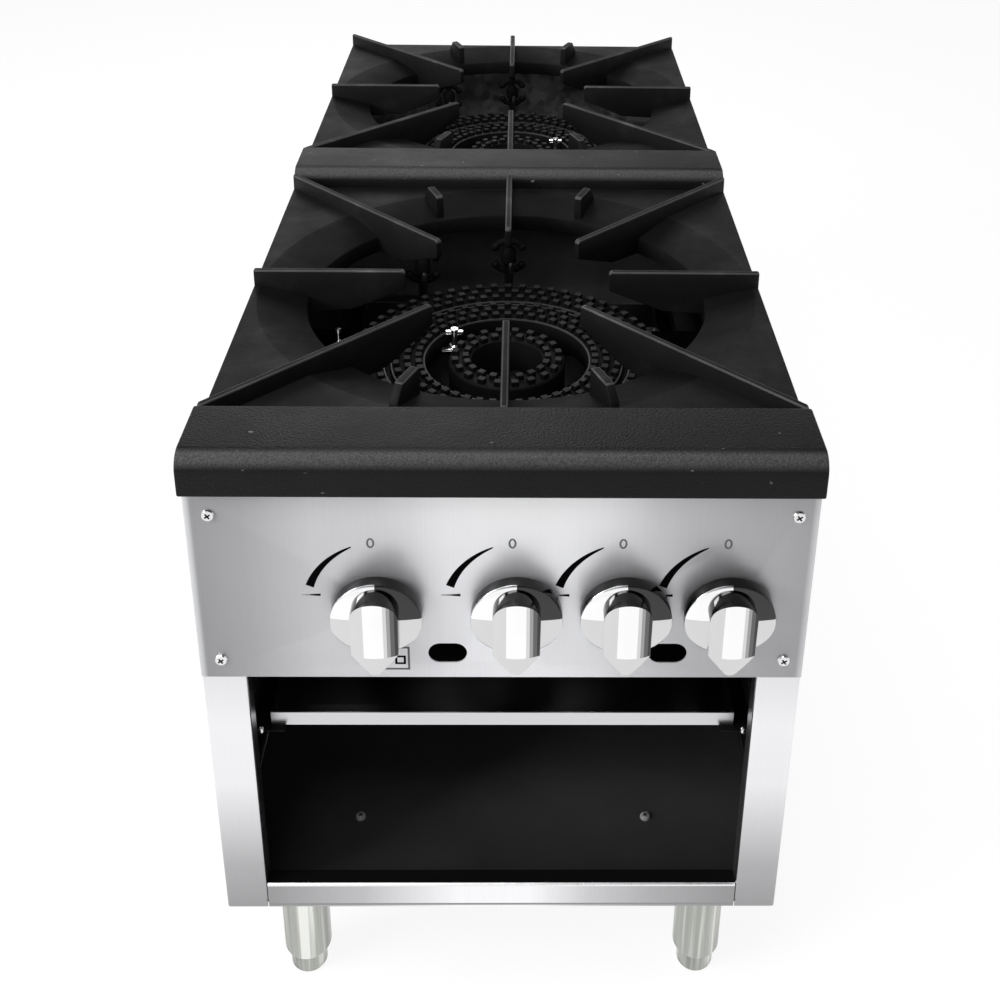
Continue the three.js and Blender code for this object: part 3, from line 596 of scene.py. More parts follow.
def ledgeBody(spec):
    corners = [(spec["back"], spec["bottom"]), (spec["front"], spec["bottom"]),
               (spec["front"], spec["top"]), (spec["back"], spec["top"])]
    outline = roundedCorners(corners, [0, spec["toe"], spec["nose"], spec["heel"]], 10)
    bm = prism(outline, "X", -halfWidth, halfWidth)
    soften(bm, spec["endRound"], 5,
           only=lambda edge: any(abs(face.normal.x) > 0.9 for face in edge.link_faces))
    return bm


for name, shift in (("front", 0), ("middle", sectionPitch)):
    finishPiece(ledgeBody(ledgeSpec), f"{name}_bullnose_ledge", [ledgePaint],
                frontOrigin + Vector((0, shift * mm, 0)), [f"{name}_ledge"])
print("ledges made")


# Cast grates

grateSpec = {
    "outside": 300, "finOuter": 340,               # past the plate's corners, squared off afterwards
    "plateTop": 560, "plateBottom": 545.4, "dishRadius": 223, "holeRadius": 179.5, "holeTop": 550,
    "lipBottom": 533.5, "lipWall": 7, "steps": 128, "rounding": 1.4, "cookingHeight": 575,
    "finInner": 92, "finWidth": 6.8, "tipDepth": 19, "webRadius": 142, "webBottom": 536, "draft": 0.22,
    "shortInner": 184, "shortOuter": (212, 221), "shortWidth": 8.4, "shortAngle": 22.5, "inset": 0.2,
}


def gratePlate(spec, halfDepth):
    outside, low, high = spec["outside"], spec["plateBottom"], spec["plateTop"]
    hole, dish, wall = spec["holeRadius"], spec["dishRadius"], spec["lipWall"]
    bm = lathe([(hole, spec["lipBottom"]), (hole + wall - 1, spec["lipBottom"]),
                (hole + wall, spec["holeTop"] - 6), (dish - 10, low), (outside, low), (outside, high),
                (dish, high), (hole, spec["holeTop"])], spec["steps"], closed=True)
    for vert in bm.verts:
        if vert.co.xy.length > outside - 1:
            reach = max(abs(vert.co.x), abs(vert.co.y))
            vert.co.x *= halfWidth / reach
            vert.co.y *= halfDepth / reach
    for face in bm.faces:                          # the dish between plate and hole is darker
        reach = face.calc_center_median().xy.length
        if hole - 1 < reach < dish and face.normal.z > 0.3:
            face.material_index = 2
    soften(bm, spec["rounding"], 2, angle=10)
    return bm


def grateFin(spec, profile, angle, halfDepth, width):
    bm = prism(profile, "Y", -width / 2, width / 2)
    low, high = spec["lipBottom"], spec["cookingHeight"]
    for vert in bm.verts:
        vert.co.y *= 1 + spec["draft"] * (0.5 - (vert.co.z - low) / (high - low))
    turned(bm, angle)
    for normal, reach in (((1, 0, 0), halfWidth), ((-1, 0, 0), halfWidth), ((0, 1, 0), halfDepth),
                          ((0, -1, 0), halfDepth)):
        cutAway(bm, Vector(normal) * (reach - spec["inset"]), normal)
    tidy(bm)
    rounded = soften(bm, spec["rounding"], 3)
    # the rounded tops of the fins take the worn finish, pale from wear and as a painted highlight
    for face in rounded["faces"]:
        if face.calc_center_median().z > high - 2.2 * spec["rounding"]:
            face.material_index = 1
    return bm


def castGrate(spec, halfDepth):
    top, low = spec["cookingHeight"], spec["lipBottom"]
    inner, outer, web = spec["finInner"], spec["finOuter"], spec["webBottom"]
    rim = spec["holeRadius"] + spec["lipWall"]
    seat = (spec["dishRadius"] - 10, spec["plateBottom"] + 1)
    long = [(inner, top - 2), (inner + 2, top), (outer, top), (outer, seat[1]), seat, (rim, low + 5),
            (rim - 1, low + 0.3), (spec["holeRadius"] - 6, web - 2), (spec["webRadius"], web),
            (inner, top - spec["tipDepth"])]
    start, (topEnd, footEnd) = spec["shortInner"], spec["shortOuter"]
    short = [(start, low + 4), (start, top - 1.5), (start + 1.5, top), (topEnd, top),
             (footEnd, spec["plateTop"] + 4), (footEnd + 2, spec["plateTop"] - 2), seat, (rim, low + 5)]
    parts = [gratePlate(spec, halfDepth)]
    for eighth in range(8):
        parts.append(grateFin(spec, long, eighth * math.tau / 8, halfDepth, spec["finWidth"]))
    for middle in (90, 270):
        for side in (-1, 1):
            angle = math.radians(middle + side * spec["shortAngle"])
            parts.append(grateFin(spec, short, angle, halfDepth, spec["shortWidth"]))
    return joined(*parts)


for end in ("front", "rear"):
    low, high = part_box(f"{end}_grate")
    centre = Vector((0, (low.y + high.y) / 2, 0))
    halfDepth = (high.y - low.y) / 2 / mm
    finishPiece(castGrate(grateSpec, halfDepth), f"{end}_cast_grate", [grateIron, grateWornHighlight, dishIron],
                centre, [f"{end}_grate"], body=f"{end}_grate", smoothAngle=24)
print("grates made")


# Burner castings

burnerSpec = {
    "top": 484, "bottom": 462, "nubHeight": 5, "nubSize": (7.2, 6.4), "rounding": 1.2, "steps": 144,
    "inner": {"from": 33, "to": 54, "rows": (38.2, 48.6), "count": 20},
    "middle": {"from": 76, "to": 108, "rows": (82, 92.4, 102.8), "count": 44},
    "outer": {"from": 113, "to": 149, "rows": (119.2, 130.8, 142.4), "count": 60},
    "mouth": 75, "throat": 106, "mouthRadius": 24, "throatRadius": 14.5, "tubeRadius": 16, "wall": 2.6,
    "foot": 418.3, "footPlaces": (-112, 112), "footRadius": 7, "padRadius": 12,
    "rimHalf": 0.8, "rimRise": 0.5, "grooveDepth": 6, "chamber": (34, 44), "chamberLap": 30, "tubeLap": 34,
}


def nubRow(radius, count, turn, spec):
    height = spec["nubHeight"]
    across, along = spec["nubSize"]
    bm = block(along, across, height + 1)
    for vert in bm.verts:
        if vert.co.z > 0:                          # a little draft, so the casting leaves its mould
            vert.co.x *= 0.9
            vert.co.y *= 0.9
    soften(bm, 0.5, 1)
    # the nub tops take a lighter finish, a painted highlight over their shaded sides
    for face in bm.faces:
        if face.normal.z > 0.5:
            face.material_index = 1
    moved(bm, (radius, 0, spec["top"] + height / 2 - 0.5))
    turned(bm, turn)
    bmesh.ops.spin(bm, geom=wholeOf(bm), cent=(0, 0, 0), axis=(0, 0, 1),
                   angle=math.tau * (count - 1) / count, steps=count - 1, use_duplicate=True)
    return bm


def nubBand(ring, spec):
    rows = []
    for number, radius in enumerate(ring["rows"]):
        rows.append(nubRow(radius, ring["count"], number * math.pi / ring["count"], spec))
    return rows


def mixingTube(x, end, centre, height, spec):
    wall, wide, narrow, tube = spec["wall"], spec["mouthRadius"], spec["throatRadius"], spec["tubeRadius"]
    mouth, throat = spec["mouth"], spec["throat"]
    profile = [(0, end - 12), (tube - wall, end - 14), (narrow - wall, throat), (wide - wall, mouth + 3),
               (wide - wall + 0.6, mouth), (wide, mouth), (wide, mouth + 3), (narrow, throat),
               (tube, end - 20), (tube, end), (0, end)]
    bm = lathe(profile, 48)
    turned(bm, -math.pi / 2, "X")                  # Z of the lathe becomes +Y
    return moved(bm, (x, -centre, height))


def outerBurner(spec, centre, gasHeight, x):
    middle, outer, top = spec["middle"], spec["outer"], spec["top"]
    groove = top - spec["grooveDepth"]
    rings = lathe([(middle["from"], spec["bottom"]), (outer["to"] - 4, spec["bottom"]),
                   (outer["to"], spec["bottom"] + 4), (outer["to"], top - 2), (outer["to"] - 2, top),
                   (outer["from"], top), (outer["from"] - 1, groove), (middle["to"] + 1, groove),
                   (middle["to"], top), (middle["from"], top)], spec["steps"], closed=True)
    soften(rings, spec["rounding"], 2)
    rims = []
    # the raised rims take a pale finish as a painted highlight
    for radius in (middle["from"] + 0.9, middle["to"] - 0.9, outer["from"] + 0.9):
        half, crest = spec["rimHalf"], top + spec["rimRise"]
        rims.append((lathe([(radius - half, top - 1), (radius - half + 0.2, crest),
                            (radius + half - 0.2, crest), (radius + half, top - 1)],
                           spec["steps"], closed=True), 2))
    tubeEnd = centre - math.sqrt(outer["to"] ** 2 - x ** 2) + spec["tubeLap"]
    tube = mixingTube(x, tubeEnd, centre, gasHeight, spec)
    # the chamber reaches from the underside of the tube up into the rings
    width, depth = spec["chamber"]
    chamberLow, chamberHigh = gasHeight - spec["tubeRadius"], spec["bottom"] + 6
    chamberMiddle = tubeEnd - spec["chamberLap"] - centre + depth / 2
    chamber = block(width, depth, chamberHigh - chamberLow,
                    (x, chamberMiddle, (chamberLow + chamberHigh) / 2), 3)
    low, high, radius = spec["foot"], spec["bottom"] + 6, spec["footRadius"]
    feet = [(moved(lathe([(0, low), (radius, low), (radius - 1, high), (0, high)], 24), (place, 0, 0)), 0)
            for place in spec["footPlaces"]]
    nubs = nubBand(middle, spec) + nubBand(outer, spec)
    return joined((rings, 0), (tube, 0), (chamber, 0), *feet, *rims, *nubs)


def innerBurner(spec, centre, gasHeight, x):
    ring, top = spec["inner"], spec["top"]
    low = gasHeight + 8
    body = lathe([(ring["from"], low), (ring["to"] - 5, low), (ring["to"], low + 8), (ring["to"], top - 2),
                  (ring["to"] - 2, top), (ring["from"], top)], spec["steps"], closed=True)
    soften(body, spec["rounding"], 2)
    tube = mixingTube(x, centre + 40, centre, gasHeight, spec)
    foot, high, radius = spec["foot"], gasHeight - 8, spec["padRadius"]
    pad = lathe([(0, foot), (radius, foot), (radius, high), (0, high)], 32)
    return joined((body, 0), (tube, 0), (pad, 0), *nubBand(ring, spec))


gasHeight = middleOf("knob_1").z / mm
knobPlaces = [middleOf(f"knob_{number}").x / mm for number in range(1, 5)]
grateCentre = (middleOf("front_grate").y - panelFace) / mm

for end in ("front", "rear"):
    centre = Vector((0, middleOf(f"{end}_grate").y, 0))
    finishPiece(outerBurner(burnerSpec, grateCentre, gasHeight, knobPlaces[0]), f"{end}_two_ring_burner",
                [burnerIron, nubTopHighlight, rimHighlight], centre, [f"{end}_outer_burner"])
    finishPiece(innerBurner(burnerSpec, grateCentre, gasHeight, knobPlaces[1]), f"{end}_centre_burner",
                [burnerIron, nubTopHighlight, rimHighlight], centre, [f"{end}_inner_burner"])
print("burners made")


# Pilots and ring lighters

pilotSpec = {"foot": 418.3, "hub": 511, "hubRadius": 8, "stem": 4.2, "hornReach": 17, "hornRadius": 3.4,
             "hornTip": 4.4, "hornFrom": 36, "nut": (8, 12), "jetPlace": (2.5, -10, 0), "jetRadius": 2.2,
             "hoodRadius": 3.2}


def pilotHorn(spec, side, rise):
    # a cast prong that curls from the hub's crown or foot round to one side
    points = []
    for k in range(6):
        angle = math.radians(90 - k * (90 - spec["hornFrom"]) / 5)
        points.append((side * spec["hornReach"] * math.cos(angle), 0,
                       spec["hub"] + rise * spec["hornReach"] * math.sin(angle)))
    horn = tubeThrough(points, spec["hornRadius"], 1.2, 12)
    tip = bmesh.new()
    bmesh.ops.create_icosphere(tip, subdivisions=3, radius=spec["hornTip"])
    moved(tip, points[-1])
    return [(horn, 0), (tip, 0)]


def pilotHead(spec):
    hub, foot, stem = spec["hub"], spec["foot"], spec["stem"]
    reach, radius = spec["hornReach"], spec["hubRadius"]
    parts = []
    for side in (-1, 1):
        parts += pilotHorn(spec, side, 1) + pilotHorn(spec, side, -1)
    crown = lathe([(0, hub - 9), (radius - 2, hub - 9), (radius, hub - 6), (radius, hub + 4),
                   (radius - 2.5, hub + 8), (3.5, hub + 10), (3, hub + reach), (0, hub + reach)], 40)
    parts.append((crown, 0))
    nutRadius, nutHeight = spec["nut"]
    nutTop = foot + nutHeight
    parts.append((lathe([(0, nutTop - 2), (stem, nutTop - 2), (stem, hub - 8), (0, hub - 8)], 24), 0))
    nut = lathe([(0, foot), (nutRadius, foot), (nutRadius, nutTop), (0, nutTop)], 6)
    soften(nut, 0.8, 1)
    parts.append((nut, 1))
    # the gas jet with its hood stands in front of the hub
    jet, hood = spec["jetRadius"], spec["hoodRadius"]
    jet = lathe([(0, nutTop), (jet, nutTop), (jet, hub - 14), (hood, hub - 13), (hood, hub - 5),
                 (2, hub - 3), (0, hub - 3)], 24)
    parts.append((moved(jet, spec["jetPlace"]), 1))
    return joined(*parts)


lighterSpec = {"foot": 418.3, "shoulder": 478, "top": 493, "spout": 489, "collar": (468, 476),
               "bracket": (471, 473.5), "bracketSize": (19, 7), "spoutHalf": 8, "stem": 3.4, "neck": 2.4,
               "cup": 4}


def ringLighter(spec):
    top, spout, shoulder = spec["top"], spec["spout"], spec["shoulder"]
    stem, neck, cup, reach = spec["stem"], spec["neck"], spec["cup"], spec["spoutHalf"]
    jet = lathe([(0, spec["foot"]), (stem, spec["foot"]), (stem, shoulder), (neck, shoulder + 2),
                 (neck, spout - 3), (cup, spout - 2), (cup, top - 0.6), (cup - 0.6, top), (1.6, top),
                 (1.6, top - 2), (0, top - 2)], 32)
    low, high = spec["collar"]
    collar = lathe([(0, low), (6, low), (6, high), (0, high)], 6)
    soften(collar, 0.7, 1)
    tube = lathe([(0, -reach), (2.6, -reach), (2.6, reach), (1.6, reach), (1.6, reach - 2),
                  (0, reach - 2)], 24)
    moved(turned(tube, math.pi / 2, "Y"), (0, 0, spout))
    low, high = spec["bracket"]
    bracket = block(*spec["bracketSize"], high - low, (-3, -4, (low + high) / 2), 0.6)
    return joined(jet, collar, tube, bracket)


sideJetSpec = {"place": (-160.5, 325, 0), "bottom": 478, "top": 497, "foot": 2.6, "neck": 1.4, "cup": 2.8,
               "arm": (7, 3, 1.6), "armPlace": (2.5, 0, 482)}


def sideJet(spec):
    low, high, foot, neck, cup = spec["bottom"], spec["top"], spec["foot"], spec["neck"], spec["cup"]
    jet = lathe([(0, low), (foot, low), (foot, low + 5), (neck, low + 6), (neck, high - 6),
                 (cup, high - 5), (cup, high - 1), (0, high)], 24)
    return joined(jet, block(*spec["arm"], spec["armPlace"], 0.3))


for end in ("front", "rear"):
    for side in ("back", "side"):
        place = middleOf(f"{end}_{side}_pilot")
        place.z = 0
        finishPiece(pilotHead(pilotSpec), f"{end}_{side}_pilot_head", [burnerIron, pilotSteel],
                    place, [f"{end}_{side}_pilot"])
    place = middleOf(f"{end}_ring_lighter")
    place.z = 0
    finishPiece(ringLighter(lighterSpec), f"{end}_lighter_jet", [brightFitting],
                place, [f"{end}_ring_lighter"])
finishPiece(sideJet(sideJetSpec), "front_side_jet", [brightFitting],
            frontOrigin + Vector(sideJetSpec["place"]) * mm)
print("pilots made")


# Control panel

panelSpec = {"bottom": 373, "top": 545, "sheet": 1.2, "flange": 14, "flangeHalf": 188, "flangeFrom": 0.6,
             "slotPlaces": (-41.3, 124.7), "slotHeight": 396.5, "slotWidth": 29, "slotTall": 18,
             "stemHole": 7, "holeSteps": 32}


def closedLoop(bm, points):
    corners = [bm.verts.new((u, 0, v)) for u, v in points]
    return [bm.edges.new(pair) for pair in zip(corners, corners[1:] + corners[:1])]


def controlPanel(spec):
    bm = bmesh.new()
    low, high = spec["bottom"], spec["top"]
    edges = closedLoop(bm, [(-halfWidth, low), (halfWidth, low), (halfWidth, high), (-halfWidth, high)])
    reach, tall = spec["slotWidth"] / 2, spec["slotTall"] / 2
    for x in spec["slotPlaces"]:
        corners = [(x - reach, spec["slotHeight"] - tall), (x + reach, spec["slotHeight"] - tall),
                   (x + reach, spec["slotHeight"] + tall), (x - reach, spec["slotHeight"] + tall)]
        edges += closedLoop(bm, roundedCorners(corners, [tall - 0.05] * 4, 12))
    hole, steps = spec["stemHole"], spec["holeSteps"]
    turns = [k * math.tau / steps for k in range(steps)]
    for x in knobPlaces:
        edges += closedLoop(bm, [(x + hole * math.cos(turn), gasHeight + hole * math.sin(turn))
                                 for turn in turns])
    bmesh.ops.triangle_fill(bm, use_beauty=True, use_dissolve=False, edges=edges)
    bmesh.ops.recalc_face_normals(bm, faces=bm.faces)
    pushOut(bm, (0, spec["sheet"], 0))
    bmesh.ops.recalc_face_normals(bm, faces=bm.faces)
    soften(bm, 0.35, 2)
    flanges = []
    depth = spec["flange"] - spec["flangeFrom"]
    for height in (low + spec["sheet"] / 2, high - spec["sheet"] / 2):
        flanges.append((block(spec["flangeHalf"] * 2, depth, spec["sheet"],
                              (0, spec["flangeFrom"] + depth / 2, height), 0.3), 0))
    return joined((bm, 0), *flanges)


finishPiece(controlPanel(panelSpec), "control_panel_front", [panelSteel],
            replaces=["control_panel"])


# Marks and screws on the panel

markSpec = {
    "zeroPlace": (-3.4, 60.7), "zeroSize": (5.8, 8.8), "zeroLine": 1.35, "proud": 0.12,
    "arcRadii": (60.2, 57), "arcFrom": 17, "arcTo": 66, "arcWidths": (0.8, 6.4), "arcSteps": 28,
    "dash": (-45.4, 14, 7.6, 2.2, 0.4), "tail": (-52.6, 14, 7, 1.6, 0.3),
    "rangeSquare": (11.6, -45.6, 22, 1.6), "burnerSquare": (15.5, -47.2, 8.2, 1.7),
}


def outlined(bm, line):
    # keeps only a line of even width along the edge of a flat face
    inner = bmesh.ops.inset_region(bm, faces=bm.faces[:], thickness=line, use_boundary=True,
                                   use_even_offset=True)
    bmesh.ops.delete(bm, geom=[face for face in bm.faces if face not in inner["faces"]], context="FACES")
    return bm


def zeroMark(spec):
    bm = bmesh.new()
    bmesh.ops.create_circle(bm, cap_ends=True, radius=0.5, segments=40)
    bmesh.ops.scale(bm, verts=bm.verts, vec=(*spec["zeroSize"], 1))
    return raisedMark(outlined(bm, spec["zeroLine"]), spec["proud"])


def raisedMark(bm, proud):
    # gives flat ink its thickness and stands it on the panel's face
    pushOut(bm, (0, 0, proud))
    turned(bm, math.pi / 2, "X")
    return tidy(bm)


def flameArc(spec):
    # one radial edge spun about the knob's axis, then drawn in to a point at the thin end
    bm = bmesh.new()
    (startRadius, endRadius), (startWidth, endWidth) = spec["arcRadii"], spec["arcWidths"]
    ends = [bm.verts.new((0, startRadius, 0)), bm.verts.new((0, startRadius - endWidth, 0))]
    edge = bm.edges.new(ends)
    turned(bm, math.radians(spec["arcFrom"]))
    bmesh.ops.spin(bm, geom=ends + [edge], cent=(0, 0, 0), axis=(0, 0, 1),
                   angle=math.radians(spec["arcTo"] - spec["arcFrom"]), steps=spec["arcSteps"])
    for vert in bm.verts:
        turn = math.degrees(math.atan2(-vert.co.x, vert.co.y))
        along = max(0, (turn - spec["arcFrom"]) / (spec["arcTo"] - spec["arcFrom"]))
        inside = vert.co.length < startRadius - endWidth / 2
        width = startWidth + (endWidth - startWidth) * along ** 0.75 if inside else 0
        vert.co = vert.co.normalized() * (startRadius + (endRadius - startRadius) * along - width)
    return raisedMark(bm, spec["proud"])


def flatBar(x, y, width, tall, taper=1.0):
    bm = bmesh.new()
    bmesh.ops.create_grid(bm, x_segments=1, y_segments=1, size=0.5)
    bmesh.ops.scale(bm, verts=bm.verts, vec=(width, tall, 1))
    for vert in bm.verts:
        if vert.co.x < 0:
            vert.co.y *= taper
    return moved(bm, (x, y, 0))


def squareFrame(x, y, size, line):
    return outlined(flatBar(x, y, size, size), line)


panelScrewSpec = {"radius": 4.9, "rise": 2.2,
                  "places": {"left_low": (-212, 390), "right_low": (213.5, 390), "left_high": (-211, 522),
                             "right_high": (213.5, 522)}}


def panHead(radius, rise):
    head = lathe([(0, 0), (radius, 0), (radius, rise * 0.35), (radius * 0.86, rise * 0.8),
                  (radius * 0.55, rise), (0, rise * 1.04)], 32)
    # the cross stands on the head, painted dark as the shade in its recess
    cross = []
    for turn in (0.6, 0.6 + math.pi / 2):
        bar = block(radius, radius * 0.24, 0.4, (0, 0, rise * 1.02))
        cross.append((turned(bar, turn), 1))
    return joined((head, 0), *cross)


inkFace = frontOrigin + Vector((0, 0, gasHeight * mm))
proud = markSpec["proud"]
zeroX, zeroRise = markSpec["zeroPlace"]
for number, x in enumerate(knobPlaces, 1):
    finishPiece(zeroMark(markSpec), f"zero_mark_{number}", [numberInk],
                inkFace + Vector((x + zeroX, 0, zeroRise)) * mm)
    marks = joined((flameArc(markSpec), 0), (raisedMark(flatBar(*markSpec["dash"]), proud), 0),
                   (raisedMark(flatBar(*markSpec["tail"]), proud), 1))
    finishPiece(marks, f"flame_marks_{number}", [markInk, faintInk],
                inkFace + Vector((x, 0, 0)) * mm)

icon = joined((raisedMark(squareFrame(*markSpec["rangeSquare"]), proud), 0),
              (raisedMark(squareFrame(*markSpec["burnerSquare"]), proud), 1))
finishPiece(icon, "burner_place_mark", [numberInk, markInk],
            inkFace + Vector((knobPlaces[0], 0, 0)) * mm)

for corner, (x, height) in panelScrewSpec["places"].items():
    screw = turned(panHead(panelScrewSpec["radius"], panelScrewSpec["rise"]), math.pi / 2, "X")
    finishPiece(moved(screw, (x, 0, height)), f"panel_screw_{corner}", [screwSteel, recessShade])
print("panel made")


# Knobs

knobSpec = {
    "radius": 34, "back": 3, "rim": 14, "face": 16, "crown": 17, "squash": 0.83, "gripHalf": 17.5,
    "gripTop": 13.6, "crease": -17, "footRadius": 5.6, "footPlace": -30.6, "gripFront": 32.5, "bulge": 4,
    "lean": 0.24, "edge": 0.8, "shadeLine": 4.5, "bulgeStep": 1.5,
    # painted reflection bands across the grip's face, each up to its own place from the left
    "reflectionBands": ((-7.5, 2), (7, 0), (9.5, 2), (12, 3), (15, 4), (99, 1)),
}


def gripOutline(spec, steps=36):
    # round over the top, straight down to the crease, then drawn in to a round foot
    half, foot = spec["gripHalf"], spec["footRadius"]
    turns = [k * math.pi / steps for k in range(steps + 1)]
    outline = [(half * math.cos(turn), spec["gripTop"] + half * math.sin(turn)) for turn in turns]
    outline.append((0.4 - half, spec["crease"]))
    for k in range(13):
        angle = math.radians(198 + 144 * k / 12)
        outline.append((foot * math.cos(angle), spec["footPlace"] + foot * math.sin(angle)))
    outline.append((half - 0.4, spec["crease"]))
    return outline


def controlKnob(spec):
    radius, rim, face = spec["radius"], spec["rim"], spec["face"]
    back, crown, line = spec["back"], spec["crown"], spec["shadeLine"]
    skirt = lathe([(0, back), (radius - 1, back), (radius, back + 1), (radius, rim - 1), (radius - 0.4, rim),
                   (radius - 1.6, rim + 0.8), (radius - 10, face), (radius - 20, crown), (0, crown)], 128)
    scored(skirt, (0, line, 0), (0, 1, 0))
    scored(skirt, (0, 0, 0), (1, 0, 0))
    for vert in skirt.verts:                       # the skirt is flattened below its axis
        if vert.co.y < 0:
            vert.co.y *= spec["squash"]
    for face in skirt.faces:                       # painted reflection: brightest on the upper left of the skirt, shaded on its right, pale below the shade line
        middle = face.calc_center_median()
        if middle.y < line:
            face.material_index = 2
        elif middle.x > 0 or face.normal.z < 0.3:
            face.material_index = 1
    grip = prism(gripOutline(spec), "Z", rim - 2, spec["gripFront"])
    for x in [count * spec["bulgeStep"] - 17 for count in range(23)] + [band[0] for band in spec["reflectionBands"]]:
        scored(grip, (x, 0, 0), (1, 0, 0))
    scored(grip, (0, spec["crease"], 0), (0, 1, 0))
    for vert in grip.verts:
        if vert.co.z > spec["crown"]:
            vert.co.z -= spec["bulge"] * (vert.co.x / spec["gripHalf"]) ** 2
            vert.co.z -= max(0, spec["crease"] - vert.co.y) * spec["lean"]
    tidy(grip)
    # painted reflection on the grip: pale below the crease, bands across its face, shade on its top and
    # right side
    for face in grip.faces:
        middle = face.calc_center_median()
        if middle.y < spec["crease"]:
            face.material_index = 2
        elif face.normal.z > 0.5:
            face.material_index = next(tone for reach, tone in spec["reflectionBands"] if middle.x < reach)
        elif middle.y > spec["gripTop"] or middle.x > 0:
            face.material_index = 1
    soften(grip, spec["edge"], 3, 50)
    return turned(joined(skirt, grip), math.pi / 2, "X")


for number in range(1, 5):
    axis = middleOf(f"knob_{number}")
    finishPiece(controlKnob(knobSpec), f"chrome_knob_{number}",
                [chromePlate, chromeShade, chromePaleReflection, chromeMildReflection, chromeDimReflection],
                Vector((axis.x, panelFace, axis.z)), [f"knob_{number}"], body=f"knob_{number}",
                smoothAngle=30)
print("knobs made")


# Legs and feet

legSpec = {
    "radius": 20.5, "wall": 1.8, "bottom": 22.8, "nutTop": 30, "bore": 6.5, "top": 127.4,
    "plate": (102, 92, 3), "plateBottom": 126.4, "footRadius": 16, "footHeight": 22.5, "stud": 6,
    "studTop": 72,
}


def legTube(spec):
    radius, bottom, top, bore, nutTop = (spec[key] for key in ("radius", "bottom", "top", "bore", "nutTop"))
    inside = radius - spec["wall"]
    tube = lathe([(bore, bottom), (radius - 1.8, bottom), (radius - 0.5, bottom + 0.6), (radius, bottom + 2),
                  (radius, top), (inside, top), (inside, nutTop), (bore, nutTop)], 96, closed=True)
    plate = block(*spec["plate"], (0, 0, spec["plateBottom"] + spec["plate"][2] / 2), 0.5)
    return joined(tube, plate)


def legFoot(spec):
    radius, height, stud, top = (spec[key] for key in ("footRadius", "footHeight", "stud", "studTop"))
    profile = [(0, 0), (radius - 3, 0), (radius - 1, 0.8), (radius, 2.6), (radius, height - 1.2),
               (radius - 1.2, height), (stud, height), (stud, top - 1), (stud - 1, top), (0, top)]
    return lathe(profile, 72)


for end in ("front", "rear"):
    for side in ("left", "right"):
        corner = f"{end}_{side}"
        place = middleOf(f"{corner}_leg")
        place.z = 0
        finishPiece(legTube(legSpec), f"{corner}_leg_tube", [legPlated],
                    place, [f"{corner}_leg"])
        finishPiece(legFoot(legSpec), f"{corner}_bullet_foot", [legPlated],
                    place, [f"{corner}_foot"], body=f"{corner}_foot")
print("legs made")


# Small fasteners in the cabinet

fastenerSpec = {"floorBolt": (4.5, 3), "boltPlace": (127, 87), "runnerScrew": (3.4, 2.4),
                "screwReach": 197.8, "screwHeight": 281, "screwSeat": 0.3}

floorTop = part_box("floor_panel")[1].z / mm
boltReach, boltDepth = fastenerSpec["boltPlace"]
for side, name in ((-1, "left"), (1, "right")):
    bolt = moved(panHead(*fastenerSpec["floorBolt"]), (side * boltReach, boltDepth, floorTop))
    finishPiece(bolt, f"floor_bolt_{name}", [boltPaleGlint, recessShade])
for side, name in ((-1, "left"), (1, "right")):
    runnerFront = (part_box(f"{name}_tray_runner")[0].y - panelFace) / mm
    screw = turned(panHead(*fastenerSpec["runnerScrew"]), math.pi / 2, "X")
    moved(screw, (side * fastenerSpec["screwReach"], runnerFront - fastenerSpec["screwSeat"],
                  fastenerSpec["screwHeight"]))
    finishPiece(screw, f"runner_screw_{name}", [screwSteel, recessShade])
print("fasteners made")


# Floor, world, lamps and camera

studioSpec = {"floorSize": 6, "floorTone": 0.82, "floorGlow": 1.13, "glowShare": 0.8, "ambient": 0.2}


def layFloor(spec):
    bm = bmesh.new()
    bmesh.ops.create_grid(bm, x_segments=1, y_segments=1, size=spec["floorSize"])
    mesh = bpy.data.meshes.new("studioFloor")
    bm.to_mesh(mesh)
    bm.free()
    floor = bpy.data.objects.new("studioFloor", mesh)
    bpy.context.scene.collection.objects.link(floor)
    finish = bpy.data.materials.new("studioFloor")
    finish.use_nodes = True
    tree = finish.node_tree
    shader = tree.nodes["Principled BSDF"]
    shader.inputs["Base Color"].default_value = grey(spec["floorTone"])
    shader.inputs["Roughness"].default_value = 0.9
    shader.inputs["Specular IOR Level"].default_value = 0.0
    path = wire(tree, "ShaderNodeLightPath", {})
    seen = math2(tree, "MAXIMUM", path.outputs["Is Camera Ray"], path.outputs["Is Glossy Ray"])
    seen = math2(tree, "MAXIMUM", seen, path.outputs["Is Transmission Ray"])
    glow = wire(tree, "ShaderNodeEmission", {"Color": grey(1.0), "Strength": spec["floorGlow"]})
    share = math2(tree, "MULTIPLY", seen, spec["glowShare"])
    mixed = wire(tree, "ShaderNodeMixShader", {0: share, 1: shader.outputs[0], 2: glow.outputs[0]})
    output = next(node for node in tree.nodes if node.type == "OUTPUT_MATERIAL")
    tree.links.new(mixed.outputs[0], output.inputs["Surface"])
    mesh.materials.append(finish)


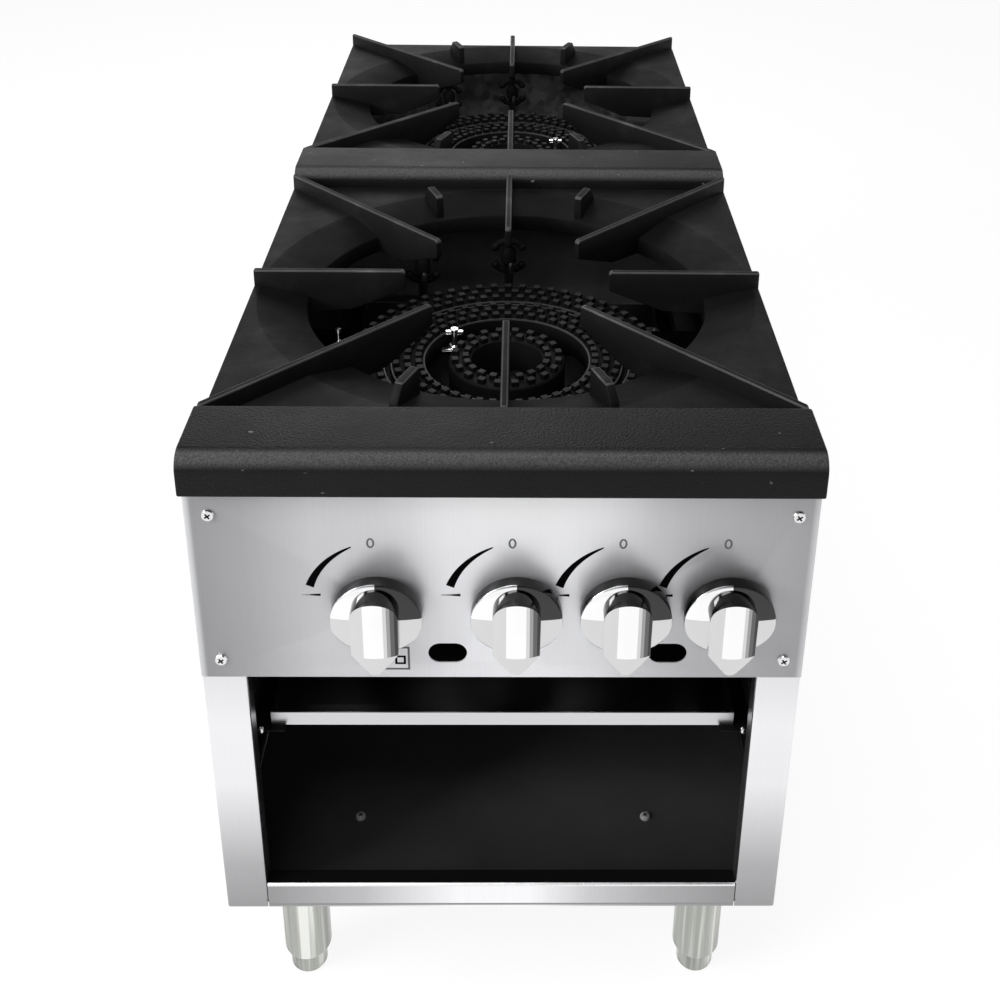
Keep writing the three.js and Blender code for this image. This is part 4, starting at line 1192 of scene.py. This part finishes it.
def hangWorld(spec):
    # white behind the range; metal sees white low down and a dark ceiling
    world = bpy.data.worlds.new("studio")
    bpy.context.scene.world = world
    world.use_nodes = True
    tree = world.node_tree
    background = tree.nodes["Background"]
    path = wire(tree, "ShaderNodeLightPath", {})
    direction = wire(tree, "ShaderNodeTexCoord", {}).outputs["Generated"]
    height = wire(tree, "ShaderNodeSeparateXYZ", {0: direction}).outputs["Z"]
    sky = greyRamp(tree, height, (0.0, 1.0), (0.12, 0.95), (0.38, 0.3), (0.6, 0.12), (1.0, 0.08))
    seen = math2(tree, "MAXIMUM", path.outputs["Is Camera Ray"], path.outputs["Is Transmission Ray"])
    colour = mixTones(tree, path.outputs["Is Glossy Ray"], grey(spec["ambient"]), sky)
    colour = mixTones(tree, seen, colour, grey(1.0))
    tree.links.new(colour, background.inputs["Color"])


lampSpec = {
    "key": {"place": (-0.6, -1.3, 2.7), "power": 18, "size": 1.2},
    "left": {"place": (-2.2, -1.4, 1.6), "power": 44, "size": 1.2},
    "right": {"place": (2.6, 0.2, 1.5), "power": 3, "size": 1.4},
    "back": {"place": (-0.5, 2.4, 2.2), "power": 16, "size": 1.4},
    "strip": {"place": (0.05, -0.2, 2.3), "power": 9, "size": 0.45},
}


def hangLamps(spec, target):
    for name, lamp in spec.items():
        light = bpy.data.lights.new(name, "AREA")
        light.energy = lamp["power"]
        light.size = lamp["size"]
        holder = bpy.data.objects.new(name, light)
        holder.location = lamp["place"]
        holder.rotation_euler = (target - holder.location).to_track_quat("-Z", "Y").to_euler()
        bpy.context.scene.collection.objects.link(holder)


cameraSpec = {"place": (9.42, -785.04, 1103.51), "pitch": 23.39, "yaw": 1.01, "roll": 0.81, "lens": 47.727,
              "shift": (-0.03957, -0.29336)}


def aimCamera(spec):
    camera = bpy.data.cameras.new("camera")
    camera.sensor_width = 36
    camera.lens = spec["lens"]
    camera.shift_x, camera.shift_y = spec["shift"]
    camera.clip_start = 0.05
    holder = bpy.data.objects.new("camera", camera)
    turn = (Matrix.Rotation(math.radians(-spec["yaw"]), 4, "Z")
            @ Matrix.Rotation(math.radians(90 - spec["pitch"]), 4, "X")
            @ Matrix.Rotation(math.radians(spec["roll"]), 4, "Z"))
    holder.matrix_world = Matrix.Translation(frontOrigin + Vector(spec["place"]) * mm) @ turn
    bpy.context.scene.collection.objects.link(holder)
    bpy.context.scene.camera = holder


layFloor(studioSpec)
hangWorld(studioSpec)
hangLamps(lampSpec, Vector((0, 0, 0.35)))
aimCamera(cameraSpec)
bpy.context.scene.view_settings.view_transform = "Standard"
print("studio made")
